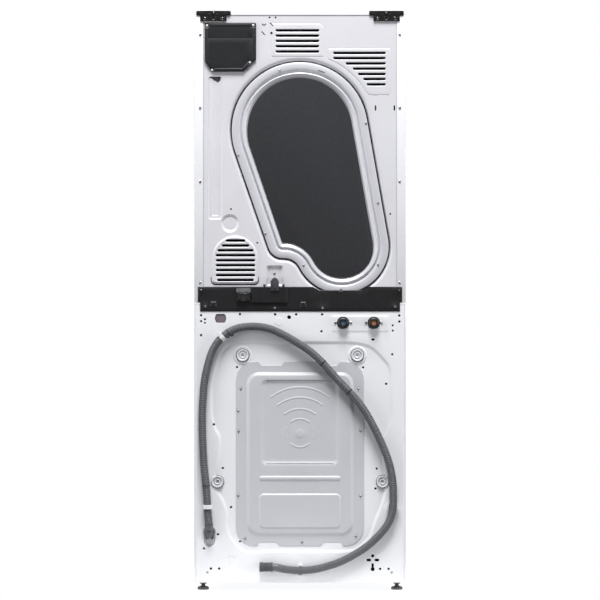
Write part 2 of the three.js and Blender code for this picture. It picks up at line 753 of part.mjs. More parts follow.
const startButton = (x) =>
  turned(
    [
      [0, CONTROL_FRONT - 3],
      [BUTTON_RADIUS - 1, CONTROL_FRONT - 3],
      [BUTTON_RADIUS, CONTROL_FRONT - 2],
      [BUTTON_RADIUS, CONTROL_FRONT + CONTROL_WALL + GAP],
      [BUTTON_RADIUS + 2, CONTROL_FRONT + CONTROL_WALL + GAP],
      [BUTTON_RADIUS + 2, CONTROL_FRONT + CONTROL_WALL + 3],
      [0, CONTROL_FRONT + CONTROL_WALL + 3],
    ],
    x,
    CONTROL_MIDDLE,
    20,
  );
piece("washer_knob", knob(-KNOB_X), stainless);
piece("dryer_knob", knob(KNOB_X), stainless);
piece("washer_start_button", startButton(-BUTTON_X), stainless);
piece("dryer_start_button", startButton(BUTTON_X), stainless);

// ---- Dryer cabinet ----
const DRYER_BOTTOM = SEAM + 1.5;
for (const [name, s] of sides) {
  const strip = (inset, y0, y1) =>
    block(
      Math.min(s * HALF_WIDTH, s * (HALF_WIDTH - inset)),
      Math.max(s * HALF_WIDTH, s * (HALF_WIDTH - inset)),
      y0,
      y1,
      DRYER_BOTTOM,
      DRYER_TOP_EDGE,
    );
  const side = join(
    strip(SHEET, FLANGE_FRONT, BACK),
    strip(FLANGE, BACK - SHEET, BACK),
    strip(FRONT_RETURN, FLANGE_FRONT, FLANGE_FRONT + SHEET),
  );
  piece(`dryer_side_${name}`, side, whitePaint);
}
const TOP_WALL = 1.5;
const dryerTop = cut(
  block(-HALF_WIDTH, HALF_WIDTH, FRONT, BACK, TOP - TOP_LIP, TOP),
  block(
    -HALF_WIDTH + TOP_WALL,
    HALF_WIDTH - TOP_WALL,
    FRONT + TOP_WALL,
    BACK - TOP_WALL,
    TOP - TOP_LIP - BIG_CUT,
    TOP - TOP_WALL,
  ),
);
piece("dryer_top", dryerTop, whitePaint);

const PAN_HEIGHT = 24;
const dryerPan = cut(
  block(
    -INNER_HALF,
    INNER_HALF,
    FRONT + 16,
    BACK - 3.3 - GAP,
    DRYER_BOTTOM,
    DRYER_BOTTOM + PAN_HEIGHT,
  ),
  block(
    -INNER_HALF + BASE_SHEET,
    INNER_HALF - BASE_SHEET,
    FRONT + 16 + BASE_SHEET,
    BACK - 3.3 - GAP - BASE_SHEET,
    DRYER_BOTTOM + BASE_SHEET,
    DRYER_BOTTOM + PAN_HEIGHT + BIG_CUT,
  ),
);
piece("dryer_base", dryerPan, zinc);

const dryerFront = cut(
  block(-frontHalf, frontHalf, FRONT, FRONT + PANEL, CONTROL_Z1 + 2, DRYER_TOP_EDGE),
  rodY(0, DRYER_AXIS, DRYER_MOUTH, FRONT - BIG_CUT, FRONT + BIG_CUT, 36),
);
piece("dryer_front_panel", dryerFront, whitePaint);

// ---- Rear duct: a round head over the drum axis, a side lobe below it ----
const HEAD = { x: 0.7, z: DRYER_AXIS, r: 150 };
const LOBE = { x: -118.6, z: DRYER_AXIS - 330.6, r: 90 };
const HOLLOW = { x: 44.7, z: DRYER_AXIS - 413.5 };
const DUCT_FLANGE = 43;
const DUCT_WALL = 9;

// The duct outline grown by margin on every side.
function ductOutline(margin) {
  const apart = Math.hypot(HEAD.x - LOBE.x, HEAD.z - LOBE.z);
  const leftNormal = Math.atan2(HEAD.z - LOBE.z, HEAD.x - LOBE.x) + Math.acos((LOBE.r - HEAD.r) / apart);
  const toHollow = Math.atan2(HOLLOW.z - LOBE.z, HOLLOW.x - LOBE.x);
  const hollowRadius = Math.hypot(HOLLOW.x - LOBE.x, HOLLOW.z - LOBE.z) - LOBE.r;
  const cornerAngle = 87.5 * DEGREE;
  const corner = {
    x: HOLLOW.x + hollowRadius * Math.cos(cornerAngle),
    z: HOLLOW.z + hollowRadius * Math.sin(cornerAngle),
  };
  const cornerDistance = Math.hypot(corner.x - HEAD.x, corner.z - HEAD.z);
  const rightNormal =
    Math.atan2(corner.z - HEAD.z, corner.x - HEAD.x) + Math.acos(HEAD.r / cornerDistance);
  const shape = new THREE.Shape();
  shape.absarc(HEAD.x, HEAD.z, HEAD.r + margin, rightNormal, leftNormal);
  shape.absarc(LOBE.x, LOBE.z, LOBE.r + margin, leftNormal, toHollow + 2 * Math.PI);
  shape.absarc(HOLLOW.x, HOLLOW.z, hollowRadius - margin, toHollow + Math.PI, cornerAngle, true);
  if (margin > 0) shape.absarc(corner.x, corner.z, margin, cornerAngle - Math.PI, rightNormal);
  return shape;
}

const DUCT_STEPS = 10;
const ductPan = cut(
  join(
    plate(ductOutline(DUCT_FLANGE), BACK - 1.5, BACK - 0.3, DUCT_STEPS),
    plate(ductOutline(DUCT_WALL), BACK - 12, BACK - 0.6, DUCT_STEPS),
  ),
  plate(ductOutline(DUCT_WALL - SHEET), BACK - 12 + SHEET, BACK + BIG_CUT, DUCT_STEPS),
);
piece("rear_duct_cover", ductPan, ringSteel);
piece("duct_insulation", plate(ductOutline(0), BACK - 10.5, BACK - 6, DUCT_STEPS), darkPad);

// ---- Dryer back panel with its grilles ----
const UPPER_GRILLE = { x0: -54.4, x1: 69.2, first: DRYER_AXIS + 283, count: 5, pitch: 15, height: 7.1 };
const SIDE_GRILLE_LEFT = -243.2;
const SIDE_GRILLE_RIGHT = [-94.4, -94.4, -129.9, -150.1, -164.6, -179.9, -189.6];
const SIDE_GRILLE_FIRST = DRYER_AXIS + 218.9;
const SIDE_GRILLE_PITCH = 14.9;
const FAN_X = 184;
const FAN_HALF = 66;
const FAN_CENTRE = DRYER_AXIS - 365.6;
const FAN_BOTTOM = DRYER_AXIS - 437;
const FAN_PITCH = 14;
const FAN_SLOT_HALVES = [28, 39, 51, 55.8, 55.8, 55.8, 55.8, 55.8, 52];
const FAN_FIRST = DRYER_AXIS - 313.9;
const panelOut = BACK - 1.8;
const panelIn = panelOut - SHEET;
const throughPanel = (shape) => plate(shape, panelIn - 3, BACK + BIG_CUT, DUCT_STEPS);
const fanOutline = new THREE.Shape();
fanOutline.moveTo(FAN_X - FAN_HALF, FAN_BOTTOM);
fanOutline.lineTo(FAN_X + FAN_HALF, FAN_BOTTOM);
fanOutline.absarc(FAN_X, FAN_CENTRE, FAN_HALF, 0, Math.PI);

const panelHalf = HALF_WIDTH - FLANGE - GAP;
const upperSlot = (i) => {
  const z = UPPER_GRILLE.first - i * UPPER_GRILLE.pitch;
  return slotShape(UPPER_GRILLE.x0, UPPER_GRILLE.x1, z, UPPER_GRILLE.height);
};

const backPanel = cut(
  join(
    block(-panelHalf, panelHalf, panelIn, panelOut, DRYER_BOTTOM, DRYER_TOP_EDGE),
    plate(fanOutline, panelOut - 0.5, BACK + 3, 10),
  ),
  throughPanel(ductOutline(DUCT_WALL + 1)),
  ...Array.from({ length: UPPER_GRILLE.count }, (_, i) => throughPanel(upperSlot(i))),
  ...SIDE_GRILLE_RIGHT.map((right, i) =>
    throughPanel(slotShape(SIDE_GRILLE_LEFT, right, SIDE_GRILLE_FIRST - i * SIDE_GRILLE_PITCH, 7)),
  ),
  ...FAN_SLOT_HALVES.map((half, i) =>
    throughPanel(slotShape(FAN_X - half, FAN_X + half, FAN_FIRST - i * FAN_PITCH, 7.6)),
  ),
);
piece("dryer_back_panel", backPanel, whitePaint);

const terminalShape = (inset) =>
  polygon([
    [270.8 - inset, DRYER_AXIS + 304.7 - inset],
    [124.5 + inset, DRYER_AXIS + 304.7 - inset],
    [124.5 + inset, DRYER_AXIS + 200.2 + inset / 2],
    [161.2 + inset / 2, DRYER_AXIS + 164.7 + inset],
    [250.1 - inset / 2, DRYER_AXIS + 164.7 + inset],
    [270.8 - inset, DRYER_AXIS + 197.1 + inset / 2],
  ]);
const terminalCover = cut(
  plate(terminalShape(0), panelOut + GAP, BACK + 6),
  plate(terminalShape(2), panelOut - BIG_CUT, BACK + 4),
);
piece("terminal_cover", terminalCover, blackPlastic);

// ---- Black steel fittings on the back ----
for (const [name, s] of sides) {
  const bar = (a, b, z0, z1) =>
    block(Math.min(s * a, s * b), Math.max(s * a, s * b), BACK + GAP, BACK + 3, z0, z1);
  const bracket = join(
    bar(HALF_WIDTH - 103.5, HALF_WIDTH - 5.5, TOP - 19, TOP - 5),
    bar(HALF_WIDTH - 91.5, HALF_WIDTH - 16.5, TOP - 35.5, TOP - 18),
  );
  piece(`corner_bracket_${name}`, bracket, blackSteel);
}

const JOINING_HALF = HALF_WIDTH - 10;
const CLAMP_X = 159.8;
const CLAMP_Z = SEAM + 16.3;
const joiningPlate = cut(
  join(
    block(-JOINING_HALF, JOINING_HALF, BACK + GAP, BACK + 2.3, SEAM + 1.8, SEAM + 47.2),
    block(-JOINING_HALF + 6, JOINING_HALF - 6, BACK + GAP, BACK + 2.3, SEAM - 23.5, SEAM + 2),
    block(34.8, 139.3, BACK + GAP, BACK + 9, SEAM, SEAM + 47),
  ),
  block(CLAMP_X - 13, CLAMP_X + 13, BACK - BIG_CUT, BACK + 2 * BIG_CUT, CLAMP_Z - 12, SEAM + 47 + BIG_CUT),
);
piece("joining_plate", joiningPlate, blackSteel);

const cordClamp = cut(
  join(
    block(141, 179, BACK + 2.3 + GAP, BACK + 6, SEAM + 5, SEAM + 43),
    block(CLAMP_X - 17, CLAMP_X + 17, BACK + 5, BACK + 14, SEAM + 5, SEAM + 29),
  ),
  rodY(CLAMP_X, CLAMP_Z, 9, BACK - BIG_CUT, BACK + 4 * BIG_CUT),
);
piece("cord_clamp", cordClamp, blackSteel);
const harnessPlug = join(
  block(60, 83.6, BACK + 9 + GAP, BACK + 16, SEAM + 35, SEAM + 74),
  block(62, 81.6, panelOut + GAP, BACK + 11, SEAM + 49, SEAM + 72),
);
piece("harness_plug", harnessPlug, blackPlastic);

// ---- Dryer drum, its bearing plate, motor and heat pump ----
const DRYER_DRUM_FRONT = FRONT + 50;
const DRYER_DRUM_BACK = BACK - 100;
const AXLE_RADIUS = 12;
const dryerLip = DRYER_MOUTH + 60;
const dryerDrum = join(
  turned(
    [
      [0, DRYER_DRUM_BACK + 30],
      [AXLE_RADIUS, DRYER_DRUM_BACK + 30],
      [AXLE_RADIUS, DRYER_DRUM_BACK],
      [DRYER_DRUM_RADIUS - 5, DRYER_DRUM_BACK],
      [DRYER_DRUM_RADIUS, DRYER_DRUM_BACK - 6],
      [DRYER_DRUM_RADIUS, DRYER_DRUM_FRONT],
      [dryerLip, DRYER_DRUM_FRONT],
      [dryerLip, DRYER_DRUM_FRONT + DRUM_WALL],
      [DRYER_DRUM_RADIUS - DRUM_WALL, DRYER_DRUM_FRONT + DRUM_WALL],
      [DRYER_DRUM_RADIUS - DRUM_WALL, DRYER_DRUM_BACK - 7],
      [DRYER_DRUM_RADIUS - 6, DRYER_DRUM_BACK - DRUM_WALL - 1],
      [0, DRYER_DRUM_BACK - DRUM_WALL - 1],
    ],
    0,
    DRYER_AXIS,
  ),
  ...lifters(DRYER_DRUM_RADIUS - DRUM_WALL, DRYER_DRUM_FRONT + 60, DRYER_DRUM_BACK - 50, DRYER_AXIS, 26),
);
piece("dryer_drum", dryerDrum, stainless);

const BULKHEAD_Y = DRYER_DRUM_BACK + 14;
const airHoles = Array.from({ length: 6 }, (_, i) => {
  const angle = (30 + 60 * i) * DEGREE;
  const [x, z] = [150 * Math.cos(angle), DRYER_AXIS + 150 * Math.sin(angle)];
  return rodY(x, z, 38, BULKHEAD_Y - 9, BULKHEAD_Y + 14);
});
const bearingPlate = cut(
  join(
    block(
      -INNER_HALF + 1,
      INNER_HALF - 1,
      BULKHEAD_Y,
      BULKHEAD_Y + 2,
      DRYER_BOTTOM + PAN_HEIGHT + 2,
      DRYER_TOP_EDGE - 8,
    ),
    rodY(0, DRYER_AXIS, 32, BULKHEAD_Y - 9, BULKHEAD_Y + 13, 24),
  ),
  rodY(0, DRYER_AXIS, AXLE_RADIUS + GAP, BULKHEAD_Y - 20, BULKHEAD_Y + 30, 24),
  ...airHoles,
);
piece("dryer_bearing_plate", bearingPlate, zinc);

const FILTER_HALF = 110;
const FILTER_Y0 = FRONT + 23;
const FILTER_Y1 = FRONT + 35;
const MOUTH_BOTTOM = DRYER_AXIS - DRYER_MOUTH;
const FILTER_Z0 = MOUTH_BOTTOM - 150;
const FILTER_Z1 = MOUTH_BOTTOM + 12;
const frontBulkhead = cut(
  join(
    turnedRing(
      [
        [DRYER_MOUTH - 2, DRYER_DRUM_FRONT - 5],
        [dryerLip + 14, DRYER_DRUM_FRONT - 5],
        [dryerLip + 14, DRYER_DRUM_FRONT - 2],
        [DRYER_MOUTH - 2, DRYER_DRUM_FRONT - 2],
      ],
      0,
      DRYER_AXIS,
    ),
    block(
      -FILTER_HALF - 8,
      FILTER_HALF + 8,
      FILTER_Y0 - 5,
      DRYER_DRUM_FRONT - 2,
      FILTER_Z0 - 8,
      MOUTH_BOTTOM - 4,
    ),
  ),
  block(-FILTER_HALF - 1, FILTER_HALF + 1, FILTER_Y0 - 1, FILTER_Y1 + 1, FILTER_Z0 - 1, FILTER_Z1 + BIG_CUT),
);
piece("dryer_front_bulkhead", frontBulkhead, tubPlastic);
const lintFilter = cut(
  block(-FILTER_HALF, FILTER_HALF, FILTER_Y0, FILTER_Y1, FILTER_Z0, FILTER_Z1),
  block(-40, 40, FILTER_Y0 - 1, FILTER_Y0 + 4, FILTER_Z1 - 12, FILTER_Z1 + 1),
);
piece("lint_filter", lintFilter, greyRubber);

const BELT_RUN = 54.2; // between the drum's rim and the pulley's
const MOTOR_BEARING = 24.84 * DEGREE; // to the right of straight below the drum's axis
const MOTOR_REACH = DRYER_DRUM_RADIUS + PULLEY_RADIUS + BELT_RUN;
const MOTOR_X = MOTOR_REACH * Math.sin(MOTOR_BEARING);
const MOTOR_Z = DRYER_AXIS - MOTOR_REACH * Math.cos(MOTOR_BEARING);
const MOTOR_RADIUS = 52;
const dryerMotor = cut(
  join(
    rodY(MOTOR_X, MOTOR_Z, MOTOR_RADIUS, 20, 180, 24),
    block(MOTOR_X - 34, MOTOR_X + 34, 50, 150, DRYER_BOTTOM + BASE_SHEET + GAP, MOTOR_Z - 30),
  ),
  rodY(MOTOR_X, MOTOR_Z, 6.4, 15, 70, 14),
);
piece("dryer_motor", dryerMotor, zinc);
piece(
  "motor_pulley",
  join(rodY(MOTOR_X, MOTOR_Z, PULLEY_RADIUS, -12, 12, 24), rodY(MOTOR_X, MOTOR_Z, 6, 11, 62, 14)),
  stainless,
);
const compressorFoot = DRYER_BOTTOM + BASE_SHEET + GAP;
const compressor = turnedUpright(
  [
    [0, compressorFoot],
    [60, compressorFoot],
    [70, compressorFoot + 24],
    [70, compressorFoot + 150],
    [42, compressorFoot + 180],
    [0, compressorFoot + 184],
  ],
  -185,
  100,
  24,
);
piece("compressor", compressor, blackSteel);

// ---- Water and drain fittings ----
function inletValve(x) {
  return cut(
    join(
      rodY(x, INLET_HEIGHT, INLET_RADIUS, BACK - 8, BACK + 20),
      block(x - 18, x + 18, BACK - 60, BACK - SHEET - GAP, INLET_HEIGHT - 22, INLET_HEIGHT + 22),
    ),
    rodY(x, INLET_HEIGHT, 8.5, BACK - 20, BACK + 20 + BIG_CUT),
  );
}
piece("cold_inlet_valve", inletValve(COLD_INLET_X), bluePlastic);
piece("hot_inlet_valve", inletValve(HOT_INLET_X), orangePlastic);

const HOSE_START_Z = OUTLET_Z0 + 30;
const OUTLET_WALL = 1.8;
const drainOutlet = join(
  cut(
    block(OUTLET_X - OUTLET_HALF, OUTLET_X + OUTLET_HALF, BACK - 32, BACK, OUTLET_Z0, OUTLET_Z1),
    block(
      OUTLET_X - OUTLET_HALF + OUTLET_WALL,
      OUTLET_X + OUTLET_HALF - OUTLET_WALL,
      BACK - 32 + OUTLET_WALL,
      BACK + BIG_CUT,
      OUTLET_Z0 + OUTLET_WALL,
      OUTLET_Z1 - OUTLET_WALL,
    ),
  ),
  rodY(OUTLET_X, OUTLET_Z0 + 16, 9, BACK - 60, BACK + 12),
  rodZ(OUTLET_X, BACK + 12, HOSE_RADIUS - 0.5, OUTLET_Z0 + 5, HOSE_START_Z - GAP),
);
piece("drain_outlet", drainOutlet, blackPlastic);

// The hose's centreline as [x, z], clipped flat against the back, from the outlet to the cuff.
const HOSE_ROUTE = [
  [257.8, 176],
  [258.6, 196],
  [261.7, 224],
  [263.7, 265],
  [266.3, 300],
  [273.4, 373],
  [276.8, 457],
  [277.3, 497],
  [275.1, 546],
  [270.8, 596],
  [262, 640],
  [246, 687],
  [221, 721],
  [184, 744],
  [140, 751.5],
  [92, 746.5],
  [52.7, 730.7],
  [12.9, 708.3],
  [-40.5, 671],
  [-112, 595],
  [-172, 528.5],
  [-212, 460.6],
  [-249.8, 373],
  [-262, 319],
  [-264.2, 275],
  [-263.3, 240],
  [-258, 212],
  [-242, 181],
  [-191, 129],
  [-123, 88],
  [-82, 73],
  [-41, 63],
  [-1, 59.5],
  [40, 62.5],
  [66, 68],
];
const CUFF_X0 = 77;
const CUFF_X1 = 114.8;
const CUFF_Z = 69.5;
const hosePoints = [
  new THREE.Vector3(OUTLET_X, BACK + 12, HOSE_START_Z),
  ...HOSE_ROUTE.map(([x, z], i) => new THREE.Vector3(x, i < 2 ? BACK + 12.3 + 0.7 * i : HOSE_Y, z)),
  new THREE.Vector3(CUFF_X0 - GAP, HOSE_Y, CUFF_Z),
];
const hoseSection = polygon(
  Array.from({ length: 8 }, (_, i) => [
    HOSE_RADIUS * Math.cos(i * 45 * DEGREE),
    HOSE_RADIUS * Math.sin(i * 45 * DEGREE),
  ]),
);
const hoseTube = new THREE.ExtrudeGeometry(hoseSection, {
  steps: 64,
  bevelEnabled: false,
  extrudePath: new THREE.CatmullRomCurve3(hosePoints, false, "centripetal"),
});
const cuffEnd = block(CUFF_X0 - GAP, CUFF_X1, BACK, BACK + 2 * HOSE_OFFSET, CUFF_Z - 20, CUFF_Z + 20);
piece("drain_hose", cut(solid(hoseTube), cuffEnd), greyHose);
piece(
  "drain_hose_cuff",
  cut(
    rodX(HOSE_Y, CUFF_Z, HOSE_OFFSET - 0.5, CUFF_X0, CUFF_X1),
    rodX(HOSE_Y, CUFF_Z, 9, CUFF_X1 - 25, CUFF_X1 + BIG_CUT),
  ),
  cuffRubber,
);

const behindSheet = block(-HALF_WIDTH, HALF_WIDTH, BACK - 20, BACK + GAP, 0, SEAM);
const uprightClip = (x, z) =>
  cut(
    rodZ(x, HOSE_Y, CLIP_OUTER, z - 6, z + 6, 20),
    rodZ(x, HOSE_Y, CLIP_BORE, z - 7, z + 7, 20),
    behindSheet,
  );
piece("hose_clip_right", uprightClip(262.5, 240), whitePlastic);
piece("hose_clip_left", uprightClip(-262.8, 240), whitePlastic);
piece(
  "hose_clip_bottom",
  cut(
    rodX(HOSE_Y, 59.8, CLIP_OUTER, -7, 5, 20),
    rodX(HOSE_Y, 59.8, CLIP_BORE, -8, 6, 20),
    behindSheet,
  ),
  whitePlastic,
);

export default tower;
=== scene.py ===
"""Builds a stacked laundry tower, a washer below a dryer, from sheets, turned rings and mouldings."""

import json
import math

import bmesh
import bpy
import numpy as np
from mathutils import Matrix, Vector
from mathutils.geometry import delaunay_2d_cdt

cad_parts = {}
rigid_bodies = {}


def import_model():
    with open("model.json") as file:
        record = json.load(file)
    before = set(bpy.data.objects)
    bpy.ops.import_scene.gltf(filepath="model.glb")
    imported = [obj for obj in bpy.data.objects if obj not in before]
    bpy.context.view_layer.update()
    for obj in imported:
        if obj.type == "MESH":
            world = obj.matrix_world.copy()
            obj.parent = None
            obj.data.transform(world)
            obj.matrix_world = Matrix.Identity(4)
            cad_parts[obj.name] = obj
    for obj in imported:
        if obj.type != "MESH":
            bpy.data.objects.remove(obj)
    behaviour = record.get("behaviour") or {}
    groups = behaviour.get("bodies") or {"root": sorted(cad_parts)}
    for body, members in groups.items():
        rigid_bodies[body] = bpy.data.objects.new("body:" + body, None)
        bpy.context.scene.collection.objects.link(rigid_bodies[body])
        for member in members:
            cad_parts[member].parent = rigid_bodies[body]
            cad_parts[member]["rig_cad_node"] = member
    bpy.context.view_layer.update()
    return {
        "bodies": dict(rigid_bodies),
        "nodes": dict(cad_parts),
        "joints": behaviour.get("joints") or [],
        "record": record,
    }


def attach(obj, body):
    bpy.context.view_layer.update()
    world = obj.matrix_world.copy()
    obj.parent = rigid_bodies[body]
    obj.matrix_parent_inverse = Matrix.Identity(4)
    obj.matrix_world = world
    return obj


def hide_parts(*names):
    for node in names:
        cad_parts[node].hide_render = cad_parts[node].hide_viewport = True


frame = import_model()

bl_info = {
    "name": "Laundry Tower", "version": (1, 0, 0), "blender": (4, 5, 0),
    "location": "View3D > Sidebar > Laundry",
    "description": "Builds a stacked washer and dryer with its drain hose, piece by piece",
    "category": "Add Mesh",
}

# Lengths are millimetres. +Z is up, the doors face -Y and the service side faces +Y.
MM = 0.001
HALF_WIDTH = 300.0
FRONT_FACE = -285.0
REAR_FACE = 300.0
CABINET_FOOT = 24.0
CABINET_HEAD = 816.0
DRYER_FOOT = 818.5
DRYER_HEAD = 1635.7
TOWER_HEAD = 1653.0
SHEET = 1.2
WASHER_AXIS = 446.0
DRYER_AXIS = 1309.0
BACK_PANEL_FACE = 298.2
STAY_HALF_WIDTH = 274.7
HOSE_RADIUS = 11.5
HOSE_Y = 314.0
SHARP_ANGLE = 32.0
CREASE_ANGLE = 10.0
PANEL_AXIS = 875.0
KNOB_X = 165.0
BUTTON_X = 92.0
INLET_AXIS = 762.0
INLETS_X = (-122.5, -209.5)
PULLEY_AXIS = (150.0, 985.0)
CUFF_AXIS = (314.0, 69.5)
PUMP_AXIS = (-210.0, 92.0)


# ---- Outlines: each is a function of a margin, which grows it outwards ----


def arc(cx, cz, radius, start, end, steps):
    """Points along an arc, with its angles in degrees."""
    turns = np.radians(np.linspace(start, end, steps + 1))
    return [(cx + radius * math.cos(t), cz + radius * math.sin(t)) for t in turns]


def circle(cx, cz, radius, steps=20):
    def outline(margin=0.0):
        return arc(cx, cz, max(radius + margin, 0.05), 0, 360, steps)[:-1]

    return outline


def filleted(corners, radii, steps=4):
    """A polygon with rounded corners, given anticlockwise with x to the right and z up."""
    corners = np.array(corners, float)
    count = len(corners)
    radii = [radii] * count if isinstance(radii, (int, float)) else list(radii)

    def outline(margin=0.0):
        points = []
        for i in range(count):
            before, here, after = corners[i - 1], corners[i], corners[(i + 1) % count]
            way_in = (here - before) / np.linalg.norm(here - before)
            way_out = (after - here) / np.linalg.norm(after - here)
            out_in = np.array([way_in[1], -way_in[0]])
            out_out = np.array([way_out[1], -way_out[0]])
            turn = way_in[0] * way_out[1] - way_in[1] * way_out[0]
            cosine = float(np.clip(way_in @ way_out, -1, 1))
            mitre = (out_in + out_out) / (1 + cosine)
            tip = here + mitre * margin
            radius = max(radii[i] + (margin if turn > 0 else -margin), 0.05)
            reach = radius * math.tan(math.acos(cosine) / 2)
            start, end = tip - way_in * reach, tip + way_out * reach
            for share in np.linspace(0, 1, steps + 1):
                a = start + (tip - start) * share
                b = tip + (end - tip) * share
                points.append(tuple(a + (b - a) * share))
        return points

    return outline


def rounded_rect(x0, x1, z0, z1, radius, steps=5):
    def outline(margin=0.0):
        r = max(radius + margin, 0.05)
        points = []
        for x, z, start in ((x1, z0, -90), (x1, z1, 0), (x0, z1, 90), (x0, z0, 180)):
            cx = x + (margin - r) * (1 if x == x1 else -1)
            cz = z + (margin - r) * (1 if z == z1 else -1)
            points += arc(cx, cz, r, start, start + 90, steps)
        return points

    return outline


def capsule(x0, x1, z, height, steps=5):
    return rounded_rect(x0, x1, z - height / 2, z + height / 2, height / 2 - 0.01, steps)


def flowing(points, steps=6):
    """A smooth closed outline through anticlockwise points."""
    points = np.array(points, float)
    count = len(points)
    smooth = []
    for i in range(count):
        a, b, c, d = (points[(i + k - 1) % count] for k in range(4))
        for t in np.arange(steps) / steps:
            smooth.append(
                0.5 * (
                    2 * b + (c - a) * t + (
                        2 * a - 5 * b + 4 * c - d
                    ) * t**2 + (3 * b - a - 3 * c + d) * t**3
                )
            )
    smooth = np.array(smooth)
    along = np.roll(smooth, -1, 0) - np.roll(smooth, 1, 0)
    along /= np.linalg.norm(along, axis=1)[:, None]
    outward = np.column_stack([along[:, 1], -along[:, 0]])

    def outline(margin=0.0):
        return [tuple(p) for p in smooth + outward * margin]

    return outline


# The duct's outline: a round head over the drum's axis and a smaller lobe below, beside the motor.
DUCT_HEAD = np.array([0.7, 1309.0])
DUCT_HEAD_RADIUS = 150.0
DUCT_LOBE = np.array([-118.6, 978.4])
DUCT_LOBE_RADIUS = 90.0
DUCT_HOLLOW = np.array([44.7, 895.5])
DUCT_CORNER_TURN = 87.5


def duct_outline(margin=0.0):
    """The rear duct's outline, grown by a margin, anticlockwise."""
    hollow_radius = float(np.linalg.norm(DUCT_HOLLOW - DUCT_LOBE)) - DUCT_LOBE_RADIUS
    corner_turn = math.radians(DUCT_CORNER_TURN)
    corner = DUCT_HOLLOW + hollow_radius * np.array([math.cos(corner_turn), math.sin(corner_turn)])
    span = DUCT_HEAD - DUCT_LOBE
    left = math.atan2(span[1], span[0]) + math.acos(
        (DUCT_LOBE_RADIUS - DUCT_HEAD_RADIUS) / float(np.linalg.norm(span))
    )
    reach = corner - DUCT_HEAD
    right = math.atan2(reach[1], reach[0]) + math.acos(DUCT_HEAD_RADIUS / float(np.linalg.norm(reach)))
    to_hollow = math.atan2(DUCT_HOLLOW[1] - DUCT_LOBE[1], DUCT_HOLLOW[0] - DUCT_LOBE[0])
    left, right, to_hollow = (math.degrees(t) for t in (left, right, to_hollow))
    points = arc(*DUCT_HEAD, DUCT_HEAD_RADIUS + margin, right, left, 56)
    points += arc(*DUCT_LOBE, DUCT_LOBE_RADIUS + margin, left, to_hollow + 360, 34)
    points += arc(*DUCT_HOLLOW, hollow_radius - margin, to_hollow + 180, DUCT_CORNER_TURN, 14)[1:]
    points += arc(*corner, max(margin, 0.3), DUCT_CORNER_TURN - 180, right, 10)[1:-1]
    return points


# ---- Shapes: each gives (points, faces) ----


def distance_to(loop, points):
    """Signed distance from each point to a closed loop, negative inside it."""
    a = np.array(loop, float)
    edge = np.roll(a, -1, 0) - a
    rel = points[:, None, :] - a[None]
    length = np.maximum((edge**2).sum(1), 1e-12)
    t = np.clip((rel * edge).sum(2) / length, 0, 1)
    near = np.sqrt(((rel - t[..., None] * edge) ** 2).sum(2)).min(1)
    return np.where(holds(loop, points), -near, near)


def holds(loop, points):
    """True for each point that is inside a closed loop."""
    a = np.array(loop, float)
    b = np.roll(a, -1, 0)
    x, z = points[:, 0:1], points[:, 1:2]
    rise = np.where(np.abs(b[:, 1] - a[:, 1]) < 1e-12, 1e-12, b[:, 1] - a[:, 1])
    crosses = ((a[:, 1] > z) != (b[:, 1] > z)) & (
        x < (b[:, 0] - a[:, 0]) * (z - a[:, 1]) / rise + a[:, 0]
    )
    return crosses.sum(1) % 2 == 1


def pressed_sheet(outline, reliefs, openings, face, outward, thick=SHEET, step=28.0):
    """A sheet pressed with reliefs. Each relief is (outline, [(margin, height), ...])."""
    edge_loop = outline(0.0)
    loops = [edge_loop]
    for shape, steps in reliefs:
        loops += [shape(margin) for margin, height in steps]
    loops += [shape(0.0) for shape in openings]
    flat = np.concatenate([np.array(loop) for loop in loops])
    low, high = np.array(edge_loop).min(0), np.array(edge_loop).max(0)
    xs = np.arange(low[0] + step / 2, high[0], step)
    zs = np.arange(low[1] + step / 2, high[1], step)
    grid = np.array([(x, z) for x in xs for z in zs])
    if len(grid):
        gap = np.sqrt(((grid[:, None, :] - flat[None]) ** 2).sum(2)).min(1)
        grid = grid[gap > step * 0.35]
        grid = grid[holds(edge_loop, grid)]
    points, edges = [], []
    for loop in loops:
        start = len(points)
        points += [Vector(p) for p in loop]
        edges += [(start + i, start + (i + 1) % len(loop)) for i in range(len(loop))]
    points += [Vector(p) for p in grid]
    made = delaunay_2d_cdt(points, edges, [], 0, 1e-3)
    flat = np.array([tuple(p) for p in made[0]])
    faces = np.array([f for f in made[2] if len(f) == 3])
    middle = flat[faces].mean(1)
    keep = holds(edge_loop, middle)
    for shape in openings:
        keep &= ~holds(shape(0.0), middle)
    faces = faces[keep]
    height = np.zeros(len(flat))
    for shape, steps in reliefs:
        margins, heights = (np.array(v, float) for v in zip(*steps))
        loop = np.array(shape(0.0))
        reach = margins.max() + 0.5
        near = ((flat > loop.min(0) - reach) & (flat < loop.max(0) + reach)).all(1)
        if near.any():
            height[near] += np.interp(distance_to(loop, flat[near]), margins, heights, right=0.0)
    used = np.unique(faces)
    renamed = np.full(len(flat), -1)
    renamed[used] = np.arange(len(used))
    faces, flat, height = renamed[faces], flat[used], height[used]
    count = len(flat)
    top = np.column_stack([flat[:, 0], face + outward * height, flat[:, 1]])
    under = top - np.array([0, outward * thick, 0])
    sides = {}
    for f in faces.tolist():
        for a, b in ((f[0], f[1]), (f[1], f[2]), (f[2], f[0])):
            if (b, a) in sides:
                del sides[(b, a)]
            else:
                sides[(a, b)] = True
    solid = [tuple(f) for f in faces.tolist()]
    solid += [(f[2] + count, f[1] + count, f[0] + count) for f in faces.tolist()]
    solid += [(b, a, a + count, b + count) for a, b in sides]
    return np.vstack([top, under]), solid


def from_bmesh(bm):
    points = np.array([tuple(v.co) for v in bm.verts])
    bm.verts.index_update()
    faces = [tuple(v.index for v in f.verts) for f in bm.faces]
    bm.free()
    return points, faces


